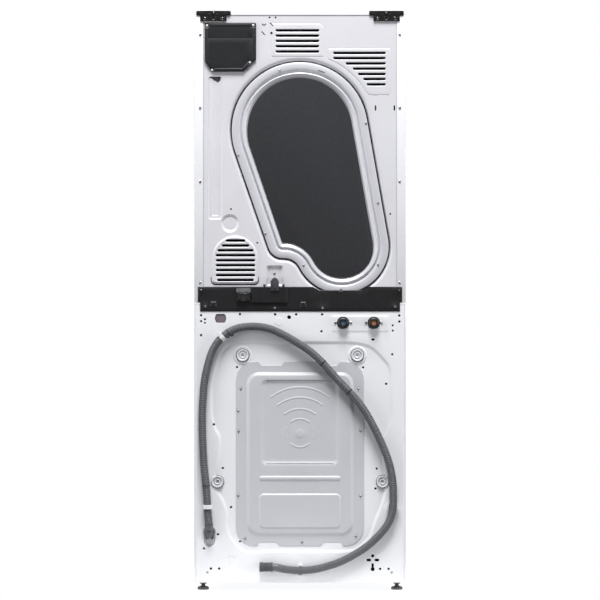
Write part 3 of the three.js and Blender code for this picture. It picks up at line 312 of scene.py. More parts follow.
def block(x0, x1, y0, y1, z0, z1, edge=1.0, segments=2):
    """A block with rounded edges."""
    bm = bmesh.new()
    bmesh.ops.create_cube(bm, size=1.0)
    for v in bm.verts:
        v.co.x = x0 if v.co.x < 0 else x1
        v.co.y = y0 if v.co.y < 0 else y1
        v.co.z = z0 if v.co.z < 0 else z1
    edge = min(edge, (x1 - x0) * 0.45, (y1 - y0) * 0.45, (z1 - z0) * 0.45)
    bmesh.ops.bevel(bm, geom=bm.edges[:], offset=edge, segments=segments, profile=0.5, affect="EDGES")
    return from_bmesh(bm)


def placed(u, v, w, axis):
    """Puts plane coordinates u, v and depth w along the named axis."""
    if axis == "y":
        return (u, w, v)
    return (u, v, w) if axis == "z" else (w, u, v)


def prism(outline, w0, w1, edge=0.6, axis="y"):
    """An outline carried from w0 to w1, with rounded rims."""
    edge = min(edge, (w1 - w0) * 0.45)
    rounds = [(-edge, 0.0), (-edge * 0.3, edge * 0.3), (0.0, edge)]
    levels = [(m, w0 + d) for m, d in rounds] + [(m, w1 - d) for m, d in reversed(rounds)]
    return capped([[placed(u, v, w, axis) for u, v in outline(margin)] for margin, w in levels])


def loops_skin(loops, closed_across=True):
    """Quads between matching loops of points, the last joined back to the first if closed."""
    n = len(loops[0])
    points = [p for loop in loops for p in loop]
    faces = []
    count = len(loops)
    for k in range(count if closed_across else count - 1):
        a, b = k * n, ((k + 1) % count) * n
        for i in range(n):
            j = (i + 1) % n
            faces.append((a + i, a + j, b + j, b + i))
    return np.array(points), faces


def capped(loops):
    """A skin over the loops, closed by a face at each end."""
    points, faces = loops_skin(loops, closed_across=False)
    n = len(loops[0])
    faces.append(tuple(range(n)))
    faces.append(tuple(range(len(points) - n, len(points)))[::-1])
    return points, faces


def turned(profile, centre, axis="y", steps=48, closed=False):
    """A profile of (radius, depth) turned about an axis through centre, whose two values cross it."""
    points, faces, rings = [], [], []
    for radius, depth in profile:
        if radius < 1e-6:
            rings.append([len(points)])
            points.append(placed(centre[0], centre[1], depth, axis))
        else:
            rings.append(list(range(len(points), len(points) + steps)))
            points += [placed(u, v, depth, axis) for u, v in circle(*centre, radius, steps)()]
    pairs = list(zip(rings, rings[1:]))
    if closed:
        pairs.append((rings[-1], rings[0]))
    for a, b in pairs:
        for i in range(steps):
            j = (i + 1) % steps
            if len(a) == 1 and len(b) == 1:
                break
            if len(a) == 1:
                faces.append((a[0], b[j], b[i]))
            elif len(b) == 1:
                faces.append((a[i], a[j], b[0]))
            else:
                faces.append((a[i], a[j], b[j], b[i]))
    if not closed:
        for ring, flip in ((rings[0], False), (rings[-1], True)):
            if len(ring) > 1:
                faces.append(tuple(ring[::-1] if flip else ring))
    return np.array(points), faces


def swept(path, radii, sides=12):
    """A round tube along a path, with one radius or one for each point."""
    path = np.array(path, float)
    radii = np.full(len(path), float(radii)) if np.isscalar(radii) else np.array(radii, float)
    along = np.gradient(path, axis=0)
    along /= np.linalg.norm(along, axis=1)[:, None]
    side = np.cross(along[0], [0.0, 1.0, 0.0])
    if np.linalg.norm(side) < 0.1:
        side = np.cross(along[0], [1.0, 0.0, 0.0])
    turns = np.linspace(0, 2 * np.pi, sides, endpoint=False)
    loops = []
    for i in range(len(path)):
        side = side - along[i] * (side @ along[i])
        side /= np.linalg.norm(side)
        up = np.cross(along[i], side)
        ring = np.outer(np.cos(turns), side) + np.outer(np.sin(turns), up)
        loops.append([tuple(p) for p in path[i] + ring * radii[i]])
    points, faces = loops_skin(loops, closed_across=False)
    last = (len(loops) - 1) * sides
    faces.append(tuple(range(sides))[::-1])
    faces.append(tuple(range(last, last + sides)))
    return points, faces


def through(points, spacing):
    """A centripetal curve through points, resampled at an even spacing."""
    p = np.array(points, float)
    p = np.vstack([2 * p[0] - p[1], p, 2 * p[-1] - p[-2]])
    fine = []
    for i in range(1, len(p) - 2):
        t = [0.0]
        for k in range(3):
            t.append(t[-1] + math.sqrt(float(np.linalg.norm(p[i + k] - p[i + k - 1]))))
        for s in np.linspace(t[1], t[2], 60, endpoint=False):
            a = [
                ((t[k + 1] - s) * p[i + k - 1] + (s - t[k]) * p[i + k]) / (t[k + 1] - t[k])
                for k in range(3)
            ]
            b = [((t[k + 2] - s) * a[k] + (s - t[k]) * a[k + 1]) / (t[k + 2] - t[k]) for k in range(2)]
            fine.append(((t[2] - s) * b[0] + (s - t[1]) * b[1]) / (t[2] - t[1]))
    fine = np.vstack([fine, p[-2]])
    run = np.concatenate([[0], np.cumsum(np.linalg.norm(np.diff(fine, axis=0), axis=1))])
    stops = np.linspace(0, run[-1], max(int(round(run[-1] / spacing)), 2) + 1)
    return np.column_stack([np.interp(stops, run, fine[:, k]) for k in range(3)])


def moved(shape, offset):
    return np.array(shape[0]) + np.array(offset), shape[1]


def swung(shape, centre, degrees, axis="y"):
    """A shape turned about an axis through centre, given as the two values across that axis."""
    points = np.array(shape[0], float)
    a, b = {"y": (0, 2), "z": (0, 1), "x": (1, 2)}[axis]
    c, s = math.cos(math.radians(degrees)), math.sin(math.radians(degrees))
    u, v = points[:, a] - centre[0], points[:, b] - centre[1]
    out = points.copy()
    out[:, a], out[:, b] = centre[0] + u * c - v * s, centre[1] + u * s + v * c
    return out, shape[1]


class Form:
    """Shapes gathered into one piece."""

    def __init__(self, *shapes):
        self.points, self.faces, self.count = [], [], 0
        for shape in shapes:
            self.add(shape)

    def add(self, shape):
        points, faces = shape
        self.points.append(np.array(points, float))
        self.faces += [tuple(self.count + i for i in f) for f in faces]
        self.count += len(points)
        return self


def seat(name, form, finish_name, body="tower", replaces=(), sharp=SHARP_ANGLE):
    """Makes the piece's mesh in metres, gives it its finish, and lets it ride its body."""
    form = form if isinstance(form, Form) else Form(form)
    mesh = bpy.data.meshes.new(name)
    mesh.from_pydata((np.vstack(form.points) * MM).tolist(), [], form.faces)
    bm = bmesh.new()
    bm.from_mesh(mesh)
    bmesh.ops.recalc_face_normals(bm, faces=bm.faces[:])
    bm.to_mesh(mesh)
    bm.free()
    mesh.materials.append(finish(finish_name))
    mesh.shade_smooth()
    mesh.set_sharp_from_angle(angle=math.radians(sharp))
    piece = bpy.data.objects.new(name, mesh)
    bpy.context.scene.collection.objects.link(piece)
    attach(piece, body)
    if replaces:
        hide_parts(*replaces)
    return piece


# ---- Finishes ----


def linear(red, green, blue):
    """A colour given in the usual 0 to 255 steps, as the shader's own numbers."""
    return tuple(
        ((v / 255 + 0.055) / 1.055) ** 2.4 if v > 10 else v / 255 / 12.92 for v in (red, green, blue)
    )


def shade(colour, factor):
    return tuple(min(c * factor, 1.0) for c in colour[:3]) + (1.0,)


class Finish:
    """One material, with helpers for the nodes that a maker's finish needs."""

    def __init__(self, name, colour, roughness, metallic=0.0, coat=0.0, specular=0.5):
        self.material = bpy.data.materials.new(name)
        self.material.use_nodes = True
        self.nodes = self.material.node_tree.nodes
        self.links = self.material.node_tree.links
        self.shader = self.nodes["Principled BSDF"]
        self.colour = tuple(colour[:3])
        self.roughness = roughness
        self.shader.inputs["Base Color"].default_value = shade(colour, 1.0)
        self.shader.inputs["Roughness"].default_value = roughness
        self.shader.inputs["Metallic"].default_value = metallic
        self.shader.inputs["Specular IOR Level"].default_value = specular
        self.shader.inputs["Coat Weight"].default_value = coat
        self.shader.inputs["Coat Roughness"].default_value = 0.12
        self.material.diffuse_color = shade(colour, 1.0)
        self.place = self.nodes.new("ShaderNodeTexCoord").outputs["Object"]
        self.normal = None

    def stretched(self, stretch):
        mapping = self.nodes.new("ShaderNodeMapping")
        mapping.inputs["Scale"].default_value = stretch
        self.links.new(self.place, mapping.inputs["Vector"])
        return mapping.outputs["Vector"]

    def noise(self, size, detail=3.0, stretch=None, roughness=0.5):
        """Cloudy noise whose patches are about this many millimetres across."""
        node = self.nodes.new("ShaderNodeTexNoise")
        node.inputs["Scale"].default_value = 1000.0 / size
        node.inputs["Detail"].default_value = detail
        node.inputs["Roughness"].default_value = roughness
        self.links.new(self.stretched(stretch) if stretch else self.place, node.inputs["Vector"])
        return node.outputs["Fac"]

    def cells(self, size):
        node = self.nodes.new("ShaderNodeTexVoronoi")
        node.inputs["Scale"].default_value = 1000.0 / size
        self.links.new(self.place, node.inputs["Vector"])
        return node.outputs["Distance"], node.outputs["Color"]

    def mottled(self, pattern, dark, light, low=0.3, high=0.7):
        """The colour swings between two shades of itself."""
        ramp = self.nodes.new("ShaderNodeValToRGB")
        ramp.color_ramp.elements[0].position = low
        ramp.color_ramp.elements[1].position = high
        ramp.color_ramp.elements[0].color = shade(self.colour, dark)
        ramp.color_ramp.elements[1].color = shade(self.colour, light)
        self.links.new(pattern, ramp.inputs["Fac"])
        self.links.new(ramp.outputs["Color"], self.shader.inputs["Base Color"])
        return self

    def worn(self, pattern, spread):
        """The gloss varies by this much over the pattern."""
        node = self.nodes.new("ShaderNodeMapRange")
        node.inputs["To Min"].default_value = max(self.roughness - spread, 0.02)
        node.inputs["To Max"].default_value = min(self.roughness + spread, 1.0)
        self.links.new(pattern, node.inputs["Value"])
        self.links.new(node.outputs["Result"], self.shader.inputs["Roughness"])
        return self

    def raised(self, pattern, strength, depth):
        """Fine surface relief, depth in millimetres."""
        node = self.nodes.new("ShaderNodeBump")
        node.inputs["Strength"].default_value = strength
        node.inputs["Distance"].default_value = depth * MM
        self.links.new(pattern, node.inputs["Height"])
        if self.normal is not None:
            self.links.new(self.normal, node.inputs["Normal"])
        self.normal = node.outputs["Normal"]
        self.links.new(self.normal, self.shader.inputs["Normal"])
        return self


def enamel(name, colour, roughness=0.34):
    """Baked enamel on sheet steel: an even colour with a faint orange peel."""
    made = Finish(name, colour, roughness, coat=0.25)
    made.mottled(made.noise(160), 0.985, 1.01)
    made.worn(made.noise(60, 4), 0.05)
    made.raised(made.noise(2.6, 2), 0.10, 0.12)
    return made.material


def coated_steel(name, colour, roughness=0.42, metallic=0.25):
    """Pre-coated sheet, with the faint rolling lines that run across it."""
    made = Finish(name, colour, roughness, metallic=metallic)
    made.mottled(made.noise(120), 0.965, 1.02)
    made.worn(made.noise(7, 3, stretch=(1.0, 1.0, 14.0)), 0.07)
    made.raised(made.noise(3.4, 3, stretch=(1.0, 1.0, 10.0)), 0.12, 0.1)
    made.raised(made.noise(1.4, 2), 0.08, 0.08)
    return made.material


def galvanised(name, colour):
    """Zinc plate, with its spangle."""
    made = Finish(name, colour, 0.36, metallic=0.85)
    near, tint = made.cells(9.0)
    made.mottled(tint, 0.82, 1.12, 0.2, 0.85)
    made.worn(tint, 0.12)
    made.raised(near, 0.06, 0.1)
    return made.material


def brushed(name, colour, stretch, roughness=0.26):
    """Steel with a fine brushed grain along one way."""
    made = Finish(name, colour, roughness, metallic=1.0)
    made.mottled(made.noise(40, 2, stretch=stretch), 0.93, 1.05)
    made.worn(made.noise(5, 4, stretch=stretch), 0.10)
    made.raised(made.noise(1.2, 2, stretch=stretch), 0.10, 0.05)
    return made.material


def black_coat(name, colour, roughness=0.5):
    """Powder coat on steel plate, with its fine pebble."""
    made = Finish(name, colour, roughness)
    made.mottled(made.noise(30, 4), 0.82, 1.2)
    made.worn(made.noise(12, 4), 0.09)
    made.raised(made.noise(1.6, 3), 0.22, 0.14)
    return made.material


def moulded(name, colour, roughness=0.5, grain=1.1, depth=0.10):
    """Moulded plastic with a fine spark-eroded grain."""
    made = Finish(name, colour, roughness)
    made.mottled(made.noise(45, 3), 0.93, 1.06)
    made.worn(made.noise(14, 4), 0.06)
    made.raised(made.cells(grain)[0], 0.18, depth)
    return made.material


def gloss_moulded(name, colour, roughness=0.2, coat=0.4):
    """Polished moulded plastic."""
    made = Finish(name, colour, roughness, coat=coat)
    made.mottled(made.noise(90, 2), 0.97, 1.02)
    made.worn(made.noise(25, 4), 0.05)
    made.raised(made.noise(6, 2), 0.05, 0.08)
    return made.material


def felt(name, colour):
    """Dark foam-backed insulation with short fibres."""
    made = Finish(name, colour, 0.93, specular=0.2)
    made.shader.inputs["Sheen Weight"].default_value = 0.25
    made.shader.inputs["Sheen Roughness"].default_value = 0.6
    made.mottled(made.noise(5.5, 8, roughness=0.7), 0.72, 1.3)
    made.raised(made.noise(1.8, 6, roughness=0.7), 0.5, 0.6)
    made.raised(made.noise(14, 3), 0.2, 0.8)
    return made.material


def rubber(name, colour, roughness=0.68):
    made = Finish(name, colour, roughness, specular=0.35)
    made.mottled(made.noise(22, 5), 0.86, 1.1)
    made.worn(made.noise(8, 4), 0.08)
    made.raised(made.noise(1.5, 4), 0.2, 0.12)
    return made.material


def cast(name, colour, size=6.0, depth=0.5, metallic=0.0, roughness=0.85):
    """A rough cast or wound surface."""
    made = Finish(name, colour, roughness, metallic=metallic)
    made.mottled(made.noise(size, 6, roughness=0.65), 0.75, 1.22)
    made.worn(made.noise(size * 2, 4), 0.08)
    made.raised(made.noise(size / 2, 5), 0.4, depth)
    return made.material


def smoked(name, colour, see_through):
    """Tinted toughened glass."""
    made = Finish(name, colour, 0.04, coat=0.3)
    made.shader.inputs["Transmission Weight"].default_value = see_through
    made.shader.inputs["IOR"].default_value = 1.5
    made.worn(made.noise(80, 3), 0.025)
    made.raised(made.noise(70, 2), 0.03, 0.3)
    return made.material


def lit(name, colour, strength):
    """A glowing mark: the display's lit segments behind dark glass, and on the knobs a painted glow."""
    made = Finish(name, colour, 0.4)
    made.shader.inputs["Emission Color"].default_value = shade(colour, 1.0)
    made.shader.inputs["Emission Strength"].default_value = strength
    made.mottled(made.noise(3, 2), 0.94, 1.0)
    return made.material


FINISHES = {}


def finish(name):
    """The named finish, made the first time that a piece asks for it."""
    colours = bpy.context.scene.laundry_colours
    makers = {
        "white_enamel": lambda n: enamel(n, colours.enamel),
        "back_enamel": lambda n: coated_steel(n, colours.back_panel, 0.45, 0.1),
        # The washer's back takes a lighter tone than the enamel on the same sheet's sides: painted light on
        # the lit back.
        "cabinet_enamel": lambda n: enamel(n, colours.washer_back, 0.4),
        "cover_steel": lambda n: coated_steel(n, colours.cover, 0.45, 0.1),
        "duct_steel": lambda n: coated_steel(n, colours.duct, 0.4, 0.15),
        "insulation_felt": lambda n: felt(n, colours.insulation),
        "zinc": lambda n: galvanised(n, linear(186, 188, 192)),
        "zinc_screw": lambda n: brushed(n, linear(214, 214, 216), (1.0, 1.0, 1.0), 0.3),
        "foot_steel": lambda n: cast(n, linear(92, 92, 94), 8.0, 0.2, 0.5, 0.5),
        "black_steel": lambda n: black_coat(n, colours.black_steel),
        "bracket_black": lambda n: black_coat(n, shade(colours.black_steel, 0.35), 0.42),
        "terminal_plastic": lambda n: moulded(n, colours.terminal_cover, 0.48, 1.4, 0.12),
        "dark_plastic": lambda n: moulded(n, linear(60, 60, 63), 0.5),
        "outlet_plastic": lambda n: moulded(n, linear(112, 112, 114), 0.5),
        "hose_plastic": lambda n: moulded(n, colours.hose, 0.46, 2.4, 0.05),
        "cuff_rubber": lambda n: rubber(n, linear(72, 73, 75)),
        "clip_plastic": lambda n: gloss_moulded(n, linear(224, 225, 228), 0.32, 0.2),
        "cap_plastic": lambda n: gloss_moulded(n, linear(212, 213, 218), 0.38, 0.1),
        "tie_plastic": lambda n: gloss_moulded(n, linear(222, 219, 218), 0.45, 0.0),
        "tub_plastic": lambda n: moulded(n, linear(214, 214, 208), 0.55, 2.2),
        "cold_blue": lambda n: gloss_moulded(n, linear(74, 96, 114), 0.42, 0.1),
        "hot_orange": lambda n: gloss_moulded(n, linear(166, 110, 76), 0.42, 0.1),
        "stainless_drum": lambda n: brushed(n, linear(206, 208, 210), (1.0, 12.0, 1.0), 0.22),
        "stainless_turned": lambda n: brushed(n, linear(206, 207, 209), (3.0, 14.0, 3.0), 0.2),
        "silver_ring": lambda n: brushed(n, linear(186, 189, 194), (2.0, 6.0, 2.0), 0.28),
        "ring_gloss": lambda n: gloss_moulded(n, linear(62, 64, 68), 0.16, 0.6),
        "smoked_glass": lambda n: smoked(n, colours.door_glass, 0.86),
        "dark_glass": lambda n: smoked(n, linear(30, 31, 34), 0.0),
        "panel_gloss": lambda n: gloss_moulded(n, linear(34, 35, 38), 0.14, 0.7),
        "gasket_rubber": lambda n: rubber(n, linear(148, 148, 150), 0.6),
        "filter_plastic": lambda n: moulded(n, linear(128, 130, 133), 0.5),
        "concrete": lambda n: cast(n, linear(162, 158, 150), 9.0, 0.9),
        "copper": lambda n: cast(n, linear(170, 104, 66), 2.2, 0.5, 0.6, 0.45),
        "belt_rubber": lambda n: rubber(n, linear(42, 42, 43)),
        # A near-black finish for sheets set behind vents and holes: painted shade where the insides would
        # lie in shadow.
        "mat_black": lambda n: rubber(n, linear(9, 9, 10), 0.95),
        "shutter_grey": lambda n: moulded(n, linear(112, 104, 109), 0.5),
        "mark_white": lambda n: lit(n, linear(236, 240, 244), 0.9),
        "printed_grey": lambda n: gloss_moulded(n, linear(172, 175, 180), 0.4, 0.0),
        "wire_copper": lambda n: gloss_moulded(n, linear(196, 60, 50), 0.45, 0.0),
    }
    if name not in FINISHES:
        FINISHES[name] = makers[name](name)
    return FINISHES[name]


def dress(node, finish_name):
    """Gives a CAD node that stays its finish."""
    piece = next(o for o in bpy.context.scene.objects if o.get("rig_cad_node") == node)
    for place in piece.material_slots:
        place.material = finish(finish_name)


# ---- Small fittings ----


def screw_shape(x, z, face, radius=4.4, outward=1, cross=True):
    """A flanged screw head, its recess cut as a cross, standing on a face that looks along Y."""
    rise = outward
    profile = [
        (radius, face - rise * 1.0), (radius, face + rise * 0.5), (radius * 0.93, face + rise * 0.8),
        (radius * 0.74, face + rise * 1.0), (radius * 0.68, face + rise * 2.0),
        (radius * 0.56, face + rise * 2.45),
    ]
    points, faces = turned(profile, (x, z), "y", 16)
    if not cross:
        return points, faces
    faces = faces[:-1]
    rim = list(range(len(points) - 16, len(points)))
    arm, half = radius * 0.4, radius * 0.12
    star = []
    for turn in range(4):
        c, s = math.cos(turn * math.pi / 2), math.sin(turn * math.pi / 2)
        for u, v in ((arm, -half), (arm, half), (half, half)):
            star.append((x + u * c - v * s, z + u * s + v * c))
    top = face + rise * 2.45
    start = len(points)
    upper = [(u, top, v) for u, v in star]
    lower = [(x + (u - x) * 0.8, top - rise * 1.3, z + (v - z) * 0.8) for u, v in star]
    points = np.vstack([points, upper, lower])
    for turn in range(4):
        tip_a, tip_b, inner = (start + turn * 3 + k for k in range(3))
        after = start + (turn * 3 + 3) % 12
        r = [rim[(turn * 4 + k) % 16] for k in range(-1, 5)]
        faces += [(r[0], r[1], tip_a), (r[1], tip_b, tip_a), (r[1], r[2], tip_b)]
        faces += [(r[2], inner, tip_b), (r[2], r[3], inner), (r[3], after, inner), (r[3], r[4], after)]
    for i in range(12):
        j = (i + 1) % 12
        faces.append((start + i, start + j, start + 12 + j, start + 12 + i))
    faces.append(tuple(start + 12 + i for i in range(12)))
    return points, faces


def ring_of(x, z, outer, inner, y0, y1, steps=28):
    """A flat ring with softened rims, facing along Y."""
    soft = min(0.5, (y1 - y0) / 3, (outer - inner) / 3)
    profile = [
        (outer, y0), (outer, y1 - soft), (outer - soft, y1), (inner + soft, y1), (inner, y1 - soft),
        (inner, y0),
    ]
    return turned(profile, (x, z), "y", steps, closed=True)


def slot_shape(x0, x1, z, height):
    """A vent slot whose lower corners are rounder than its upper ones."""
    z0, z1 = z - height / 2, z + height / 2
    return filleted([(x0, z0), (x1, z0), (x1, z1), (x0, z1)], [5.0, 5.0, 1.6, 1.6])


LIP = [(-0.3, -1.0), (0.0, -0.9), (0.9, -0.25), (1.8, 0.0)]
CREASE = [(-2.2, 0.9), (-1.0, 0.7), (0.4, 0.0), (1.2, -0.7), (2.0, 0.0)]
SCORED = [(-0.55, 0.0), (0.0, -0.6), (0.55, 0.0)]


# ---- The dryer's back ----

UPPER_SLOTS = [1592, 1577, 1562, 1547, 1532]
LOWER_SLOTS = [
    (1527.9, -94.4), (1513.2, -94.4), (1498.1, -129.9), (1483.3, -150.1), (1468.0, -164.6),
    (1453.8, -179.9), (1438.5, -189.6),
]
FAN_SLOTS = [
    (995.1, 28), (980.9, 39), (967.3, 51), (953.4, 55.8), (938.9, 55.8), (925.0, 55.8), (911.1, 55.8),
    (896.9, 55.8), (883.0, 52),
]
FAN_X = 184.75
FAN_HALF = 66.15


def lower_grille_frame():
    corner = [(-79.4, 1541), (-256.6, 1541), (-256.6, 1409), (-197, 1409)]
    corner += arc(*DUCT_HEAD, 218.3, 150.0, 113.5, 8)
    corner += [(-79.4, 1509)]
    return filleted(corner, [8, 8, 8, 3] + [0.5] * 9 + [4], 3)


def fan_outline():
    corners = [(FAN_X - FAN_HALF, 872.5), (FAN_X + FAN_HALF, 872.5)]
    dome = arc(FAN_X, 943.4, FAN_HALF, 0, 180, 18)
    return filleted(corners + dome, [12, 12] + [0.5] * 19, 4)


def fan_shadow():
    """The gap that runs round under the fan grille; the black sheet behind it shows through as a painted
    shadow.
    """
    left, right = FAN_X - FAN_HALF, FAN_X + FAN_HALF
    outer = [(left - 2.6, 892), (left - 2.6, 868.6), (right + 2.6, 868.6), (right + 2.6, 892)]
    inner = [(right + 0.4, 892), (right + 0.4, 872.2), (left - 0.4, 872.2), (left - 0.4, 892)]
    return filleted(outer + inner, [0.4, 15, 15, 0.4, 0.4, 12.4, 12.4, 0.4], 6)


def build_back_panel():
    slots = [slot_shape(-54.4, 69.2, z, 7.1) for z in UPPER_SLOTS]
    slots += [slot_shape(-243.2, right, z, 7.1) for z, right in LOWER_SLOTS]
    fan_slots = [capsule(183.2 - half, 183.2 + half, z, 7.4) for z, half in FAN_SLOTS]
    uprights = [rounded_rect(x - 2.1, x + 2.1, 1364.5, 1379.5, 2.0, 3) for x in (-214.6, -268.0)]
    holes = [(196, 1085), (121.4, 989), (-256.3, 1071), (86.5, 1629), (69.2, 1629)]
    openings = slots + fan_slots + uprights + [circle(x, z, 2.7, 12) for x, z in holes]
    openings += [
        lambda margin=0.0: duct_outline(46.6 + margin),
        filleted(
            [
                (225, 1460.5), (226, 1450), (234, 1444), (243, 1450.5), (256, 1459), (256, 1460.5),
            ], 1.2, 2,
        ),
        fan_shadow(),
    ]
    duct_roll = [
        (46.6, -10.5), (47.4, -8.2), (48.8, -5.4), (51.0, -2.8), (53.5, -1.1), (56, -0.3), (59, 0),
    ]
    frame = filleted([(-68.6, 1518), (81.6, 1518), (81.6, 1611.7), (-56, 1611.7), (-68.6, 1599)], 5, 3)
    reliefs = [(duct_outline, duct_roll), (frame, CREASE), (lower_grille_frame(), CREASE)]
    reliefs += [(slot, LIP) for slot in slots + fan_slots]
    reliefs += [
        (fan_outline(), [(-9.5, 4.2), (-8, 4.8), (-5.6, 4.8), (-3.6, 4.0), (-0.8, 0.5), (0.6, 0.0)]),
        (
            rounded_rect(221, 261, 1055, 1462, 8, 5),
            [
                (-14.8, -4.6), (-13.0, -4.8), (-11.4, -3.4), (-3.6, -3.0), (-2.0, -2.2), (-0.4, -0.3),
                (0, 0),
            ],
        ),
        (
            circle(199, 1044, 26.7, 36),
            [(-11.0, -3.6), (-9.6, -4.0), (-7.6, -3.6), (-1.6, -0.5), (0.2, 0)],
        ),
        (rounded_rect(47.6, 95.6, 866, 925, 7, 4), [(-5, -6.5), (-3.8, -6.0), (-0.8, -0.4), (0.2, 0)]),
        (rounded_rect(-2, 2, 1600.8, 1603.2, 1.1, 2), SCORED),
    ]
    for x, z, turn, half in (
        (105.2, 1608.6, 42, 3.8), (99.6, 1608.6, -44, 3.8), (80.8, 1609.6, 49, 6.4),
        (104.4, 1584.6, 49, 6.4),
    ):
        c, s = math.cos(math.radians(turn)), math.sin(math.radians(turn))
        corners = [(-half, -1.4), (half, -1.4), (half, 1.4), (-half, 1.4)]
        openings.append(filleted([(x + u * c - v * s, z + u * s + v * c) for u, v in corners], 0.4, 2))
    openings.append(circle(81, 1584.7, 3.6, 14))
    stop = prism(rounded_rect(222, 260, 1440, 1463, 3, 3), 288.6, 290.2, 0.3)
    seat("channel_stop", stop, "shutter_grey")
    outline = rounded_rect(-STAY_HALF_WIDTH, STAY_HALF_WIDTH, 818.6, 1635.5, 1.5, 2)
    sheet = pressed_sheet(outline, reliefs, openings, BACK_PANEL_FACE, 1)
    seat("dryer_back_sheet", sheet, "back_enamel", replaces=["dryer_back_panel"], sharp=CREASE_ANGLE)
    # Near-black sheets behind the grilles and the strip of holes: painted shade, so the slots read dark
    # where the dryer's inside lies in shadow.
    shade_sheets = Form()
    for x0, x1, z0, z1 in (
        (-62, 110, 1524, 1633), (-250, -86, 1430, 1536), (110, 257, 866, 1002), (
            -274, -250, 1060, 1385,
        ),
    ):
        shade_sheets.add(prism(rounded_rect(x0, x1, z0, z1, 3, 3), 280.6, 282.2, 0.3))
    seat("dryer_vent_shade_sheets", shade_sheets, "mat_black")


# (margin from the pad's edge, depth): inner wall, groove, flat flange and turned edge
DUCT_SECTION = [
    (-9.0, 288.9), (0.0, 289.1), (1.6, 289.9), (10.0, 296.9), (11.4, 297.3), (12.8, 296.6),
    (14.6, 292.6), (16.2, 291.2), (18.0, 291.6), (20.6, 294.2), (22.6, 297.0), (24.0, 297.6),
    (41.6, 297.6), (42.8, 296.9), (43.1, 295.6), (43.1, 291.4), (42.0, 291.4), (41.8, 295.9),
    (24.0, 296.3), (18.6, 290.5), (15.4, 290.0), (11.6, 295.8), (1.0, 288.4), (-9.0, 287.9),
]
DUCT_SCREWS = [
    (57.5, 1478), (-187.3, 1328.6), (176.2, 1238), (98.7, 1014.7), (-222, 1101.7), (-10, 924.5),
    (-221.7, 926.4), (-116.3, 856.5),
]


def build_rear_duct():
    loops = [[(x, y, z) for x, z in duct_outline(margin)] for margin, y in DUCT_SECTION]
    seat("duct_ring", loops_skin(loops), "duct_steel", replaces=["rear_duct_cover"])
    pad = prism(lambda margin=0.0: duct_outline(margin - 0.8), 289.6, 293.6, 1.4)
    seat("duct_pad", pad, "insulation_felt", replaces=["duct_insulation"], sharp=50)
    screws = Form(*(screw_shape(x, z, 297.6, 3.6) for x, z in DUCT_SCREWS))
    slot_mark = swept([(-50.4, 297.4, 1479.4), (-70.3, 297.4, 1472.6)], 1.3, 10)
    seat("duct_sensor_slot", slot_mark, "dark_plastic")
    seat("duct_screws", screws, "zinc_screw")


def build_terminal_cover():
    corners = [
        (124.5, 1509.2), (161.2, 1473.7), (250.1, 1473.7), (270.8, 1506.1), (270.8, 1613.7),
        (124.5, 1613.7),
    ]
    outline = filleted(corners, 5, 4)
    rim = [(-10.5, 0), (-9.2, 0.9), (-6.4, 1.1), (-4.8, 0.6), (-2.6, 0.4), (-0.9, -0.4), (0, -2.4)]
    places = [(264, 1605.5), (132.8, 1606.5), (142.4, 1501), (249.5, 1479.6)]
    reliefs = [(outline, rim)]
    reliefs += [(rounded_rect(134.5, 260.5, 1569.2, 1570.8, 0.7, 2), [(-0.5, -0.5), (0.6, 0)])]
    reliefs += [(circle(x, z, 8.4, 20), [(-2.6, -1.9), (-0.4, -0.2), (0.3, 0)]) for x, z in places]
    cover = pressed_sheet(outline, reliefs, [], 304.7, 1, thick=3.6, step=18)
    skirt = prism(lambda margin=0.0: outline(margin - 1.2), 298.6, 302.4, 0.5)
    seat("terminal_box_cover", Form(cover, skirt), "terminal_plastic", replaces=["terminal_cover"])
    screws = Form(*(screw_shape(x, z, 302.9, 3.6) for x, z in places))
    seat("terminal_cover_screws", screws, "clip_plastic")


def build_corner_brackets():
    for side, cad in ((1, "corner_bracket_right"), (-1, "corner_bracket_left")):
        corners = [
            (208.5, 1617.7), (283.5, 1617.7), (283.5, 1634.0), (294.5, 1634.0), (294.5, 1647.8),
            (196.5, 1647.8), (196.5, 1634.0), (208.5, 1634.0),
        ]
        if side < 0:
            corners = [(-x, z) for x, z in corners][::-1]
        outline = filleted(corners, [3, 3, 1.2, 3, 3, 3, 3, 1.2][::side], 3)
        places = [(side * x, 1628.0) for x in (220, 245, 270)]
        reliefs = [(outline, [(-1.2, 0.0), (-0.4, -0.25), (0, -0.7)])]
        reliefs += [(circle(side * 245, 1642.6, 3.4, 14), [(-1.0, -0.9), (0.2, 0)])]
        reliefs += [(circle(side * x, 1638, 1.8, 10), [(-0.8, 0.7), (0.3, 0)]) for x in (234, 256)]
        reliefs += [
            (circle(side * x, 1628, 6.4, 16), [(-1.6, -1.2), (0.3, 0)]) for x in (220, 245, 270)
        ]
        plate = pressed_sheet(outline, reliefs, [], 302.6, 1, thick=2.2, step=20)
        name = "wall_strap_bracket_" + ("right" if side > 0 else "left")
        seat(name, plate, "bracket_black", replaces=[cad])
        screws = Form(*(screw_shape(x, z, 301.6, 1.9, cross=False) for x, z in (places[0], places[2])))
        screws.add(screw_shape(side * 245, 1642.6, 301.6, 2.6, cross=False))
        seat(name + "_screws", screws, "zinc_screw")


